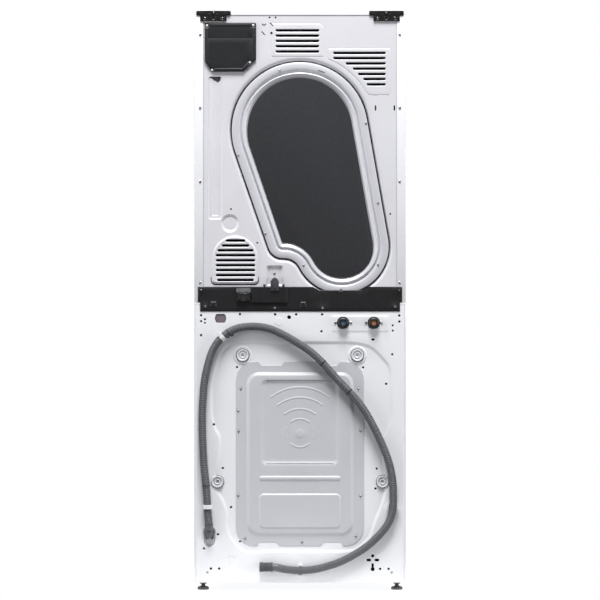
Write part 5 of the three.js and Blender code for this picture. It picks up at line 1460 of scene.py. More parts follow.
def build_door(name, sizes, ring_node, glass_node, hinge_node):
    z, inner, outer = sizes["axis"], sizes["inner"], sizes["outer"]
    rim = [
        (inner, DOOR_BACK), (inner, DOOR_FRONT + 15.0), (inner + 1.4, DOOR_FRONT + 12.6),
        (inner + 12.0, DOOR_FRONT + 5.2), (inner + 15.5, DOOR_FRONT + 3.0),
    ]
    band = [
        (inner + 15.5, DOOR_FRONT + 1.8), (inner + 17.5, DOOR_FRONT + 0.4), (inner + 20.0, DOOR_FRONT),
        (outer - 16.0, DOOR_FRONT), (outer - 10.0, DOOR_FRONT + 1.2), (outer - 4.8, DOOR_FRONT + 4.8),
        (outer - 1.4, DOOR_FRONT + 10.4), (outer, DOOR_FRONT + 17.5), (outer, DOOR_BACK - 1.2),
        (outer - 1.2, DOOR_BACK),
    ]
    steps = 144
    points, faces = turned([*rim, *band], (0, z), "y", steps, closed=True)
    across = points[:, 0] / np.hypot(points[:, 0], points[:, 2] - z)
    radius = np.hypot(points[:, 0], points[:, 2] - z)
    pocket = np.clip((across - math.cos(math.radians(15))) / 0.02, 0, 1)
    pocket = pocket * pocket * (3 - 2 * pocket)
    hollow = np.clip(
        (radius - (outer - 30)) / 26, 0, 1,
    ) * (points[:, 1] > DOOR_FRONT + 14) * (radius > outer - 6)
    shift = pocket * hollow * 12.0
    points[:, 0] -= shift * points[:, 0] / radius
    points[:, 2] -= shift * (points[:, 2] - z) / radius
    seat(
        name + "_ring", Form((points, faces)), "silver_ring", body=name, replaces=[ring_node], sharp=40,
    )
    bezel = [
        (inner + 0.4, DOOR_FRONT + 14.6), (inner + 1.2, DOOR_FRONT + 11.9),
        (inner + 11.8, DOOR_FRONT + 4.5), (inner + 15.3, DOOR_FRONT + 2.2),
        (inner + 16.0, DOOR_FRONT + 3.4), (inner + 12.0, DOOR_FRONT + 6.6),
        (inner + 2.0, DOOR_FRONT + 13.6),
    ]
    seat(name + "_bezel", turned(bezel, (0, z), "y", steps, closed=True), "ring_gloss", body=name)
    handle = Form()
    for turn in np.linspace(-11, 11, 9):
        at = arc(0, z, outer - 2.6, turn, turn, 1)[0]
        rib = block(-5.0, 1.2, DOOR_BACK - 11, DOOR_BACK - 9.2, -1.1, 1.1, 0.4)
        handle.add(moved(swung(rib, (0, 0), turn), (at[0] - 9.0, 0, at[1])))
    seat(name + "_grip_ribs", handle, "ring_gloss", body=name)

    glass = inner - 0.6
    if name == "washer_door":
        outside = [
            (0, -202.4), (40, -203.2), (74, -205.6), (96, -209.4), (108, -213.6), (116, -220.5),
            (121, -229.5), (126, -240.0), (136, -262.0), (145, -281.0), (148.6, -290.0),
            (glass, -298.0), (glass, -312.0),
        ]
        inside = [
            (glass - 4, -312.0), (glass - 4, -298.0), (144.6, -290.6), (140.8, -281.6), (132, -263.0),
            (122, -241.0), (117, -231.0), (112.6, -224.0), (105, -217.6), (94, -213.4), (73, -209.6),
            (40, -207.2), (0, -206.4),
        ]
    else:
        outside = [
            (0, -268.4), (60, -269.0), (110, -270.4), (140, -273.0), (153, -278.0), (160, -285.0),
            (glass, -292.0), (glass, -312.0),
        ]
        inside = [
            (glass - 4, -312.0), (glass - 4, -293.0), (156.4, -286.6), (150, -281.2), (138, -276.8),
            (110, -274.4), (60, -273.0), (0, -272.4),
        ]
    seat(
        name + "_dish", turned([*outside, *inside], (0, z), "y", 96), "smoked_glass", body=name,
        replaces=[glass_node], sharp=50,
    )
    seal = [
        (inner - 0.2, DOOR_FRONT + 16.4), (inner - 0.2, DOOR_FRONT + 18.2),
        (inner - 5.4, DOOR_FRONT + 17.4), (inner - 5.4, DOOR_FRONT + 16.2),
    ]
    seat(name + "_glass_trim", turned(seal, (0, z), "y", 96, closed=True), "ring_gloss", body=name)

    x = sizes["hinge"]
    ears = Form()
    for z0, z1 in ((z - 26, z - 17), (z + 17, z + 26)):
        ears.add(block(x - 7, x + 7, -315, FRONT_FACE - 0.3, z0, z1, 2.0))
    ears.add(block(x - 8, x + 7, -288, FRONT_FACE - 0.3, z - 26, z + 26, 1.0))
    ears.add(turned([(0, z - 26), (3.4, z - 26), (3.4, z + 26), (0, z + 26)], (x, -308), "z", 20))
    for z1 in (z - 27.0, z + 26.0):
        ears.add(
            turned(
                [(0, z1), (4.6, z1), (5.2, z1 + 0.5), (4.6, z1 + 1.0), (0, z1 + 1.0)], (x, -308), "z",
                20,
            )
        )
    seat(name + "_hinge_plate", ears, "zinc", replaces=[hinge_node])
    knuckle = Form(
        turned(
            [(3.9, z - 16), (6.6, z - 16), (7, z - 15.6), (7, z + 15.6), (6.6, z + 16), (3.9, z + 16)],
            (x, -308), "z", 28, closed=True,
        )
    )
    knuckle.add(block(x + 5.2, x + 24, -313, -303, z - 15.6, z + 15.6, 1.2))
    seat(name + "_knuckle", knuckle, "silver_ring", body=name)
    latch = block(outer - 24, outer - 14, DOOR_BACK - 0.4, -280.2, z - 7, z + 7, 1.4)
    seat(name + "_catch", latch, "zinc", body=name)


def build_control_panel():
    outline = rounded_rect(-299.6, 299.6, 810.1, 939.9, 3, 4)
    edge = [(-6, 0), (-3.4, -0.5), (-1.4, -1.6), (0, -3.6)]
    wells = [
        (circle(x, PANEL_AXIS, 28.8, 48), [(-0.2, -5.0), (0.8, -3.4), (2.4, -0.7), (4.0, 0)])
        for x in (-KNOB_X, KNOB_X)
    ]
    reliefs = [(outline, edge), *wells]
    reliefs += [
        (circle(x, PANEL_AXIS, 10.2, 28), [(-0.2, -3.0), (0.6, -1.0), (1.8, 0)])
        for x in (-BUTTON_X, BUTTON_X)
    ]
    reliefs += [(rounded_rect(-61, 61, 849, 901, 4, 4), [(-0.2, -1.2), (0.6, -0.4), (1.6, 0)])]
    openings = [circle(x, PANEL_AXIS, 28.4, 48) for x in (-KNOB_X, KNOB_X)] + [
        circle(x, PANEL_AXIS, 10.0, 28) for x in (-BUTTON_X, BUTTON_X)
    ]
    openings.append(rounded_rect(-60.4, 60.4, 849.6, 900.4, 3.4, 4))
    face = pressed_sheet(outline, reliefs, openings, -299.8, -1, thick=2.0, step=30)
    skirt_plan = rounded_rect(-299.5, 299.5, -296.4, -270.2, 2, 3)
    shell = Form(face)
    for z0, z1 in ((810.2, 812.4), (937.6, 939.8)):
        shell.add(prism(skirt_plan, z0, z1, 0.4, "z"))
    for x0, x1 in ((-299.5, -297.3), (297.3, 299.5)):
        shell.add(block(x0, x1, -296.4, -270.2, 812, 938, 0.5))
    shell.add(block(-297, 297, -281.6, -279.6, 812.6, 937.4, 0.4))
    seat("control_fascia", shell, "panel_gloss", replaces=["control_panel"])

    window = prism(rounded_rect(-60, 60, 850, 900, 3, 4), -299.4, -297.6, 0.5)
    seat("display_pane", window, "dark_glass", replaces=["display_window"])
    marks = Form()
    digits = {0: "abcdef", 1: "bc", 4: "bcfg", 5: "acdfg"}
    bars = {
        "a": (0, 10, 8, 1.6), "g": (0, 0, 8, 1.6), "d": (0, -10, 8, 1.6), "f": (-5, 5, 1.6, 8),
        "b": (5, 5, 1.6, 8), "e": (-5, -5, 1.6, 8), "c": (5, -5, 1.6, 8),
    }
    for place, digit in ((-33, 0), (-15, 1), (15, 4), (33, 5)):
        for bar in digits[digit]:
            u, v, w, h = bars[bar]
            shape = prism(
                rounded_rect(
                    place + u - w / 2, place + u + w / 2, 877 + v - h / 2, 877 + v + h / 2, 0.6, 2,
                ),
                -299.55, -299.3, 0.05,
            )
            marks.add(shape)
    for z in (872, 882):
        marks.add(prism(circle(0, z, 1.3, 14), -299.55, -299.3, 0.05))
    for x in range(-50, 51, 10):
        marks.add(prism(rounded_rect(x - 3, x + 3, 855.4, 856.6, 0.5, 2), -299.55, -299.3, 0.05))
    seat("display_marks", marks, "mark_white")

    ticks = Form()
    for x in (-KNOB_X, KNOB_X):
        for turn in range(-150, 151, 30):
            a = math.radians(90 - turn)
            ticks.add(
                prism(
                    circle(x + 38 * math.cos(a), PANEL_AXIS + 38 * math.sin(a), 1.1, 12), -300.02,
                    -299.6, 0.1,
                )
            )
            u, v = x + 47 * math.cos(a), PANEL_AXIS + 47 * math.sin(a)
            dash = rounded_rect(-4.2, 4.2, -0.55, 0.55, 0.5, 2)
            ticks.add(moved(prism(dash, -300.02, -299.6, 0.1), (u, 0, v)))
    for x in (-BUTTON_X, BUTTON_X):
        for start in (20, 200):
            ring = arc(
                x, PANEL_AXIS, 14.4, start, start + 140, 20,
            ) + arc(x, PANEL_AXIS, 13.6, start + 140, start, 20)
            loops = [[(u, y, v) for u, v in ring] for y in (-300.02, -299.6)]
            ticks.add(capped(loops))
    seat("control_marks", ticks, "printed_grey")

    for name, x in (("washer_knob", -KNOB_X), ("dryer_knob", KNOB_X)):
        profile = [
            (0, -281), (9, -281), (9, -298.5), (26.6, -298.5), (27.6, -299.2), (27.6, -304.0),
            (27.0, -305.0), (26.6, -317.6), (26.0, -319.6), (24.4, -321.2), (22.6, -321.9),
            (20.4, -321.4), (19.0, -320.6), (0, -320.4),
        ]
        points, faces = turned(profile, (x, PANEL_AXIS), "y", 120)
        radius = np.hypot(points[:, 0] - x, points[:, 2] - PANEL_AXIS)
        turn = np.arctan2(points[:, 2] - PANEL_AXIS, points[:, 0] - x)
        grip = (points[:, 1] < -304.5) & (points[:, 1] > -318.5) & (radius > 25)
        ease = 0.45 * (0.5 + 0.5 * np.cos(turn * 60)) * grip
        points[:, 0] -= np.cos(turn) * ease
        points[:, 2] -= np.sin(turn) * ease
        seat(name + "_cap", (points, faces), "stainless_turned", body=name, replaces=[name], sharp=28)
        # The pointer takes the lit finish and glows, though it is a printed mark and no lamp: painted light.
        pointer = prism(
            rounded_rect(
                x - 1.1, x + 1.1, PANEL_AXIS + 9, PANEL_AXIS + 18, 1.0, 3,
            ), -320.9, -320.2, 0.2,
        )
        seat(name + "_pointer", pointer, "mark_white", body=name)
    for name, x in (("washer_start_button", -BUTTON_X), ("dryer_start_button", BUTTON_X)):
        profile = [
            (0, -294.2), (8.8, -294.2), (8.8, -301.6), (8.2, -302.6), (6.4, -302.9), (3.0, -302.4),
            (0, -302.2),
        ]
        seat(
            name + "_cap", turned(profile, (x, PANEL_AXIS), "y", 48), "stainless_turned", body=name,
            replaces=[name],
        )
        guard = ring_of(x, PANEL_AXIS, 11.0, 10.0, -294, -293, 32)
        seat(name + "_collar", guard, "dark_plastic")


def build_drawer():
    front = rounded_rect(-269.8, -76.2, 706.2, 793.8, 4, 4)
    edge = [(-4, 0), (-2, -0.3), (-0.8, -1.0), (0, -2.4)]
    pull = rounded_rect(-216, -130, 712, 736, 9, 6)
    face = pressed_sheet(
        front, [(front, edge), (pull, [(-7, -5.0), (-5, -4.6), (-1.5, -0.8), (0.4, 0)])], [], -291.8,
        -1, thick=2.2, step=26,
    )
    body = Form(face)
    body.add(block(-267.4, -265.6, -284, -70.4, 708, 786, 0.5))
    body.add(block(-80.4, -78.6, -284, -70.4, 708, 786, 0.5))
    body.add(block(-267.4, -78.6, -284, -70.4, 708, 710.4, 0.5))
    body.add(block(-267.4, -78.6, -72.6, -70.4, 708, 786, 0.5))
    body.add(block(-267.4, -78.6, -286.6, -283.0, 708, 790, 0.5))
    for x in (-210.6, -153.6):
        body.add(block(x, x + 2.0, -284, -72, 708, 780, 0.5))
    body.add(block(-206, -158, -150, -148.4, 710, 768, 0.5))
    seat(
        "detergent_drawer_tray", body, "clip_plastic", body="detergent_drawer",
        replaces=["detergent_drawer"],
    )
    cap = Form(block(-205.4, -157.4, -232, -150.6, 770, 773, 1.2))
    cap.add(turned([(0, 773), (11, 773), (10.4, 776), (0, 776.4)], (-181.4, -192), "z", 32))
    seat("softener_cap", cap, "cold_blue", body="detergent_drawer")


def build_pump_cover():
    outline = rounded_rect(-268.8, -151.2, 46.2, 137.8, 4, 4)
    notch = rounded_rect(-226, -194, 124, 138.6, 4, 4)
    cover = pressed_sheet(
        outline,
        [
            (outline, [(-2.6, 0), (-1.0, -0.3), (0, -0.8)]),
            (rounded_rect(-262, -158, 53, 131, 4, 4), SCORED),
            (notch, [(-3.0, -0.9), (-0.6, -0.1), (0.4, 0)]),
        ],
        [], -286.4, -1, thick=1.8, step=22,
    )
    seat("pump_flap", cover, "white_enamel", body="pump_cover", replaces=["pump_cover"])
    knob = Form(
        turned(
            [
                (0, -190.5), (18, -190.5), (18, -258), (27.6, -258), (28.2, -259), (28.2, -263.4),
                (27.4, -264.4), (0, -264.8),
            ],
            PUMP_AXIS, "y", 64,
        )
    )
    knob.add(block(-231, -189, -270.8, -264.0, 88.4, 95.6, 1.6))
    for turn in range(0, 360, 20):
        at = arc(*PUMP_AXIS, 27.6, turn, turn, 1)[0]
        knob.add(turned([(0, -263.6), (1.4, -263.6), (1.4, -258.6), (0, -258.6)], at, "y", 10))
    seat("pump_filter_knob", knob, "filter_plastic", body="pump_filter", replaces=["pump_filter"])


# ---- Inside ----


def build_gasket():
    profile = [
        (166.2, -283.0), (172.0, -284.0), (178.0, -283.6), (181.4, -281.4), (181.8, -277.0),
        (178.6, -273.6), (175.2, -269.0), (176.0, -263.6), (179.8, -259.0), (180.6, -253.4),
        (176.6, -248.6), (173.4, -243.0), (175.0, -236.6), (180.2, -231.6), (181.8, -226.0),
        (181.8, -216.0), (178.4, -216.0), (178.2, -225.4), (176.6, -229.0), (171.2, -234.4),
        (169.8, -243.0), (173.4, -250.6), (176.6, -255.0), (172.4, -261.0), (171.6, -269.6),
        (175.6, -276.4), (172.8, -279.8), (168.6, -278.4), (166.0, -274.8),
    ]
    bellows = Form(turned(profile, (0, WASHER_AXIS), "y", 120, closed=True))
    for turn in (262, 270, 278):
        at = arc(0, WASHER_AXIS, 171.0, turn, turn, 1)[0]
        bellows.add(turned([(0, -262), (3.4, -262), (3.4, -258), (2.2, -257), (0, -257)], at, "y", 16))
    seat("door_bellows", bellows, "gasket_rubber", replaces=["door_gasket"], sharp=60)


def basket_wall(radius, y0, y1, axis_z, hole, pitch, wall):
    """A drum's wall with rows of round drain holes."""
    around = int(round(2 * math.pi * radius / pitch))
    rows = max(int(round((y1 - y0) / pitch)), 2)
    corner = 8
    points, faces = [], []

    def place(u, v, r):
        turn = u / around * 2 * math.pi
        points.append((r * math.sin(turn), y0 + (y1 - y0) * v / rows, axis_z + r * math.cos(turn)))
        return len(points) - 1

    for r, flip in ((radius, False), (radius - wall, True)):
        grid = [[place(u, v, r) for u in range(around)] for v in range(rows + 1)]
        for v in range(rows):
            for u in range(around):
                quad = [
                    grid[v][u], grid[v][
                        (u + 1) % around
                    ], grid[v + 1][(u + 1) % around], grid[v + 1][u],
                ]
                if (u + v) % 2 or v in (0, rows - 1):
                    faces.append(tuple(quad[::-1] if flip else quad))
                    continue
                rim = []
                for k in range(corner):
                    a = math.radians(225 + 360 * k / corner)
                    rim.append(
                        place(
                            u + 0.5 + hole / pitch * math.cos(a), v + 0.5 + hole / pitch * math.sin(a),
                            r,
                        )
                    )
                for side in range(4):
                    a, b = quad[side], quad[(side + 1) % 4]
                    p, q, s = rim[side * 2], rim[side * 2 + 1], rim[(side * 2 + 2) % corner]
                    made = [(a, b, s, q), (a, q, p)]
                    faces.extend(f[::-1] if flip else f for f in made)
    half = len(points) // 2
    faces_by_edge = {}
    for f in faces:
        for a, b in zip(f, f[1:] + f[:1]):
            if (b, a) in faces_by_edge:
                del faces_by_edge[(b, a)]
            else:
                faces_by_edge[(a, b)] = True
    for a, b in faces_by_edge:
        if a < half and b < half:
            faces.append((b, a, a + half, b + half))
    return np.array(points), faces


def lifter(radius, y0, y1, turn, axis_z, half_base, height):
    """One hollow-looking lifter, rounded over its crest and tapered at both ends."""
    stations = [
        (y0, 0.15), (y0 + 6, 0.55), (y0 + 22, 0.93), (y0 + 40, 1.0), (y1 - 40, 1.0), (y1 - 22, 0.93),
        (y1 - 6, 0.55), (y1, 0.15),
    ]
    loops = []
    for y, share in stations:
        ring = []
        for t in np.linspace(-1, 1, 13):
            rise = height * share * (1 - abs(t) ** 2.4) ** 0.8
            ring.append((half_base * t, y, radius - 0.8 - rise))
        ring += [(half_base * t, y, radius - 0.2) for t in (0.9, 0.0, -0.9)]
        loops.append(ring)
    return moved(swung(capped(loops), (0, 0), turn), (0, 0, axis_z))


def build_drums():
    sizes = bpy.context.scene.laundry_sizes
    hole = sizes.drum_hole / MM
    z = WASHER_AXIS
    wall = basket_wall(239.0, -186.0, 152.0, z, hole, 13.5, 1.6)
    seat("washer_basket_wall", wall, "stainless_drum", body="washer_drum", replaces=["washer_drum"])
    front = [
        (239.2, -184.5), (239.2, -192.0), (237.0, -197.6), (232.0, -199.8), (206.0, -199.6),
        (198.0, -198.2), (190.0, -198.8), (186.0, -196.8), (185.2, -193.4), (186.8, -193.0),
        (190.6, -196.4), (198.0, -196.0), (206.0, -197.4), (231.4, -197.6), (235.6, -195.8),
        (237.4, -191.4), (237.4, -184.5),
    ]
    ends = Form(turned(front, (0, z), "y", 120, closed=True))
    back = [
        (0, 166.8), (40, 166.8), (52, 162.8), (92, 161.0), (100, 157.6), (136, 157.2), (144, 161.2),
        (200, 162.4), (226, 162.8), (236.0, 159.2), (239.2, 151.0), (237.4, 151.0), (234.6, 157.2),
        (226, 160.8), (200, 160.6), (144, 159.4), (136, 155.4), (100, 155.6), (92, 159.2), (52, 161.0),
        (40, 165.0), (0, 165.0),
    ]
    ends.add(turned(back, (0, z), "y", 96))
    ends.add(turned([(0, 165), (15, 165), (15, 246.4), (14, 247), (0, 247)], (0, z), "y", 40))
    seat("washer_basket_ends", ends, "stainless_turned", body="washer_drum")
    lifters = Form(*(lifter(237.4, -158, 138, turn, z, 27, 46) for turn in (0, 120, 240)))
    seat("washer_lifters", lifters, "tub_plastic", body="washer_drum", sharp=50)
    dress("motor_rotor", "zinc")

    z = DRYER_AXIS
    shell = [
        (277.4, -234.6), (277.4, -196), (275.6, -191), (275.6, -30), (277.4, -26), (277.4, 26),
        (275.6, 30), (275.6, 186), (277.4, 190), (277.4, 196), (272.0, 201.6), (230.0, 203.0),
        (224.0, 199.0), (60.0, 199.0), (54.0, 203.0), (24.0, 203.4), (0.0, 203.4), (0.0, 201.6),
        (54.0, 201.0), (60.0, 197.2), (225.0, 197.2), (231.0, 201.0), (271.0, 199.8), (273.8, 195.0),
        (273.8, -191.6), (275.6, -196.4), (275.6, -234.6),
    ]
    outer_wall = turned(shell, (0, z), "y", 120, closed=True)
    axle = turned([(0, 200), (14.8, 200), (14.8, 229), (13.6, 229.9), (0, 229.9)], (0, z), "y", 36)
    seat(
        "dryer_basket", Form(outer_wall, axle), "stainless_drum", body="dryer_drum",
        replaces=["dryer_drum"],
    )
    lifters = Form(*(lifter(274.4, -190, 180, turn, z, 26, 46) for turn in (0, 120, 240)))
    seat("dryer_lifters", lifters, "tub_plastic", body="dryer_drum", sharp=50)


def build_drive_belt():
    """The ribbed belt round the dryer's drum and the motor's pulley."""
    drum, pulley = np.array([0.0, DRYER_AXIS]), np.array(PULLEY_AXIS)
    big, small = 279.2, 25.6
    span = pulley - drum
    distance = float(np.linalg.norm(span))
    lean = math.degrees(math.atan2(span[1], span[0]))
    wrap = math.degrees(math.acos((big - small) / distance))
    line = arc(*drum, big, lean + wrap, lean + 360 - wrap, 90)
    line += arc(*pulley, small, lean - wrap, lean + wrap, 20)
    line = np.array(line)
    along = np.roll(line, -1, 0) - np.roll(line, 1, 0)
    along /= np.linalg.norm(along, axis=1)[:, None]
    out = np.column_stack([along[:, 1], -along[:, 0]])
    section = [(-6.0, 0.0), (6.0, 0.0), (6.0, 1.3), (-6.0, 1.3)]
    loops = [
        [(p[0] + o[0] * v, 4.0 + u, p[1] + o[1] * v) for u, v in section] for p, o in zip(line, out)
    ]
    seat("drive_belt", loops_skin(loops), "belt_rubber")
    profile = [(0, -11.6), (23.6, -11.6), (25, -10.8), (25, -4.6), (24.2, -3.6)]
    for groove in range(5):
        y = -2.6 + groove * 2.8
        profile += [(24.4, y), (23.4, y + 1.4)]
    profile += [(24.4, 11.4), (25, 12.4), (25, 17.6), (22, 18.4), (7.6, 18.4), (7.6, 61.6), (0, 61.6)]
    seat(
        "motor_pulley_wheel", turned(profile, PULLEY_AXIS, "y", 48), "stainless_turned",
        body="motor_pulley", replaces=["motor_pulley"],
    )


def coil(start, end, radius, wire, turns):
    """A close-wound spring between two points."""
    start, end = np.array(start, float), np.array(end, float)
    way = end - start
    length = float(np.linalg.norm(way))
    way /= length
    side = np.cross(way, [0, 1, 0])
    side /= np.linalg.norm(side)
    up = np.cross(way, side)
    t = np.linspace(0, 1, turns * 12 + 1)
    turn = t * turns * 2 * math.pi
    path = start + np.outer(t * length, way) + radius * (
        np.outer(np.cos(turn), side) + np.outer(np.sin(turn), up)
    )
    return swept(path, wire, 6)


def build_suspension():
    springs, dampers = Form(), Form()
    for x in (-214.0, 214.0):
        for y in (-110.0, 120.0):
            springs.add(coil((x * 1.16, y, 792), (x * 0.985, y, 648), 9.0, 1.5, 24))
    for x in (-1, 1):
        dampers.add(swept([(x * 236, -40, 62), (x * 190, -40, 152)], 9.0, 20))
        dampers.add(swept([(x * 190, -40, 152), (x * 164, -40, 204)], 4.5, 14))
    seat("tub_springs", springs, "zinc")
    seat("tub_dampers", dampers, "dark_plastic")


def build_wiring():
    wires = Form()
    runs = [
        [(230, 285, 560), (262, 262, 640), (255, 200, 760), (180, 120, 806)],
        [(234, 285, 560), (268, 258, 648), (262, 196, 764), (196, 112, 806)],
    ]
    for run in runs:
        wires.add(swept(through(run, 8.0), 2.2, 8))
    seat("tub_harness", wires, "wire_copper")
    board = Form(block(-60, 60, -279.0, -277.4, 842, 908, 0.3))
    for x in range(-50, 51, 20):
        board.add(block(x - 6, x + 6, -277.4, -271.4, 852, 864, 0.6))
        board.add(turned([(0, -277.4), (4, -277.4), (4, -271), (0, -270.6)], (x, 890), "y", 16))
    seat("display_board", board, "tub_plastic")


def build_feet():
    for name, x, y in (
        ("foot_front_left", -276.5, -250),
        ("foot_front_right", 276.5, -250),
        ("foot_rear_left", -276.5, 250),
        ("foot_rear_right", 276.5, 250),
    ):
        profile = [
            (0, 0.1), (14.6, 0.1), (16.1, 1.0), (16.4, 3.2), (16.1, 6.4), (14.6, 8.2), (10.4, 9.0),
            (9.6, 9.6), (9.6, 10.0), (5.9, 10.6),
        ]
        z = 11.0
        while z < 57.0:
            profile += [(5.9, z), (5.2, z + 0.9)]
            z += 1.8
        profile += [(5.4, 59.0), (4.6, 59.9), (0, 59.9)]
        foot = Form(turned(profile, (x, y), "z", 40))
        nut = [
            (x + 10.4 * math.cos(math.radians(a)), y + 10.4 * math.sin(math.radians(a)))
            for a in range(0, 360, 60)
        ]
        foot.add(prism(filleted(nut, 0.8, 2), 16.6, 22.6, 0.6, "z"))
        seat(name + "_pad", foot, "foot_steel", body=name, replaces=[name])


def dress_inner_parts():
    for node, name in (
        ("washer_base", "zinc"),
        ("washer_tub", "tub_plastic"),
        ("tub_counterweight", "concrete"),
        ("motor_stator", "copper"),
        ("drain_pump", "dark_plastic"),
        ("drawer_housing", "tub_plastic"),
        ("dryer_base", "zinc"),
        ("dryer_bearing_plate", "zinc"),
        ("dryer_front_bulkhead", "tub_plastic"),
        ("dryer_motor", "zinc"),
        ("compressor", "black_steel"),
    ):
        dress(node, name)


def build_lint_filter():
    frame_outline = rounded_rect(-110, 110, 969.2, 1130.8, 8, 4)
    bay = [rounded_rect(-100 + k * 68, -36 + k * 68, 980, 1108, 4, 3) for k in range(3)]
    sheet = pressed_sheet(frame_outline, [], bay, -261.8, -1, thick=6.0, step=30)
    filter_form = Form(sheet)
    for k in range(3):
        for x in np.arange(-98 + k * 68, -37 + k * 68, 3.2):
            filter_form.add(block(x, x + 0.7, -258.4, -257.8, 979, 1109, 0.1, 1))
        for z in np.arange(984, 1106, 5.0):
            filter_form.add(block(-101 + k * 68, -35 + k * 68, -257.8, -257.2, z, z + 0.7, 0.1, 1))
    filter_form.add(block(-40, 40, -255.4, -250.2, 1112, 1130, 2.0))
    seat("lint_screen", filter_form, "filter_plastic", body="lint_filter", replaces=["lint_filter"])


# ---- Stage ----


def build_stage():
    scene = bpy.context.scene
    settings = scene.laundry_stage
    camera = bpy.data.objects.new("stage_camera", bpy.data.cameras.new("stage_camera"))
    scene.collection.objects.link(camera)
    camera.data.lens = settings.lens
    camera.data.sensor_width = 36.0
    camera.data.clip_end = 60.0
    camera.location = (0.0, settings.camera_distance, settings.camera_height)
    camera.rotation_euler = (math.pi / 2, 0.0, math.pi)
    scene.camera = camera
    scene.view_settings.view_transform = "Standard"

    world = bpy.data.worlds.new("studio")
    scene.world = world
    world.use_nodes = True
    tree = world.node_tree
    fill = tree.nodes["Background"]
    fill.inputs["Color"].default_value = (0.97, 0.98, 1.0, 1.0)
    fill.inputs["Strength"].default_value = settings.fill
    paper = tree.nodes.new("ShaderNodeBackground")
    paper.inputs["Color"].default_value = (1.0, 1.0, 1.0, 1.0)
    paper.inputs["Strength"].default_value = 1.0
    seen = tree.nodes.new("ShaderNodeLightPath")
    mix = tree.nodes.new("ShaderNodeMixShader")
    tree.links.new(seen.outputs["Is Camera Ray"], mix.inputs["Fac"])
    tree.links.new(fill.outputs["Background"], mix.inputs[1])
    tree.links.new(paper.outputs["Background"], mix.inputs[2])
    tree.links.new(mix.outputs["Shader"], tree.nodes["World Output"].inputs["Surface"])

    for name, place, aim, size, power in (
        ("overhead", (0.0, 2.6, 6.0), (0, 0.2, 0.6), 2.4, settings.overhead),
        ("left_box", (3.3, 1.9, 0.85), (0, 0.3, 0.75), 1.8, settings.side_boxes),
        ("right_box", (-3.3, 1.9, 0.85), (0, 0.3, 0.75), 1.8, settings.side_boxes),
        ("front_overhead", (0.0, -3.6, 4.4), (0, -0.2, 0.9), 3.0, settings.overhead * 0.27),
        ("front_box", (-2.8, -3.6, 1.8), (0, -0.3, 0.9), 2.2, settings.side_boxes * 1.5),
        ("front_fill", (2.8, -3.6, 1.8), (0, -0.3, 0.9), 2.2, settings.side_boxes * 1.0),
    ):
        lamp = bpy.data.lights.new(name, "AREA")
        lamp.shape = "SQUARE"
        lamp.size = size
        lamp.energy = power
        holder = bpy.data.objects.new(name, lamp)
        scene.collection.objects.link(holder)
        holder.location = place
        holder.rotation_euler = (Vector(aim) - Vector(place)).to_track_quat("-Z", "Y").to_euler()

    rings = 24
    points, faces = [(0.0, 0.0, 0.0)], []
    radii = [0.5, 1.0, 1.6, 2.4, 3.4]
    for radius in radii:
        points += [(x, y, 0.0) for x, y in circle(0, 0, radius, rings)()]
    for i in range(rings):
        j = (i + 1) % rings
        faces.append((0, 1 + i, 1 + j))
        for k in range(len(radii) - 1):
            a, b = 1 + k * rings, 1 + (k + 1) * rings
            faces.append((a + i, b + i, b + j, a + j))
    mesh = bpy.data.meshes.new("studio_floor")
    mesh.from_pydata(points, [], faces)
    floor = bpy.data.objects.new("studio_floor", mesh)
    scene.collection.objects.link(floor)
    paint = bpy.data.materials.new("studio_floor")
    paint.use_nodes = True
    tree = paint.node_tree
    shader = tree.nodes["Principled BSDF"]
    shader.inputs["Base Color"].default_value = (0.5, 0.5, 0.5, 1.0)
    shader.inputs["Roughness"].default_value = 0.7
    shader.inputs["Emission Color"].default_value = (1.0, 1.0, 1.0, 1.0)
    shader.inputs["Emission Strength"].default_value = 0.75
    clear = tree.nodes.new("ShaderNodeBsdfTransparent")
    place = tree.nodes.new("ShaderNodeTexCoord")
    reach = tree.nodes.new("ShaderNodeVectorMath")
    reach.operation = "LENGTH"
    fade = tree.nodes.new("ShaderNodeMapRange")
    fade.interpolation_type = "SMOOTHSTEP"
    fade.inputs["From Min"].default_value = 0.3
    fade.inputs["From Max"].default_value = 0.8
    mix = tree.nodes.new("ShaderNodeMixShader")
    tree.links.new(place.outputs["Object"], reach.inputs[0])
    tree.links.new(reach.outputs["Value"], fade.inputs["Value"])
    tree.links.new(fade.outputs["Result"], mix.inputs["Fac"])
    tree.links.new(shader.outputs["BSDF"], mix.inputs[1])
    tree.links.new(clear.outputs["BSDF"], mix.inputs[2])
    tree.links.new(mix.outputs["Shader"], tree.nodes["Material Output"].inputs["Surface"])
    mesh.materials.append(paint)


# ---- Settings, operators and panel ----


def colour_setting(name, description, default):
    return bpy.props.FloatVectorProperty(
        name=name, description=description, subtype="COLOR", size=3, min=0.0, max=1.0, default=default
    )


def length_setting(name, description, default, low, high):
    return bpy.props.FloatProperty(
        name=name, description=description, unit="LENGTH", default=default, min=low, max=high, precision=5
    )


class LaundryColours(bpy.types.PropertyGroup):
    """The finishes that a user would change."""

    enamel: colour_setting("Enamel", "Sides, fronts and lid", linear(226, 227, 231))
    back_panel: colour_setting("Dryer back", "The dryer's coated back sheet", linear(212, 212, 217))
    # Lighter than the enamel of the same wrapped sheet's sides: painted light on the back.
    washer_back: colour_setting(
        "Washer back", "The washer's wrapped cabinet sheet", linear(229, 230, 234),
    )
    cover: colour_setting("Service cover", "The washer's rear service cover", linear(198, 199, 204))
    duct: colour_setting("Duct ring", "The steel ring of the rear duct", linear(202, 202, 208))
    insulation: colour_setting("Insulation", "The dark pad inside the duct ring", linear(30, 31, 36))
    terminal_cover: colour_setting(
        "Terminal cover", "The moulded box over the mains terminals", linear(23, 24, 28),
    )
    black_steel: colour_setting("Black steel", "Brackets and joining strap", linear(16, 16, 19))
    hose: colour_setting("Drain hose", "The ribbed hose", linear(90, 92, 96))
    door_glass: colour_setting("Door glass", "Tint of both doors", linear(150, 156, 162))


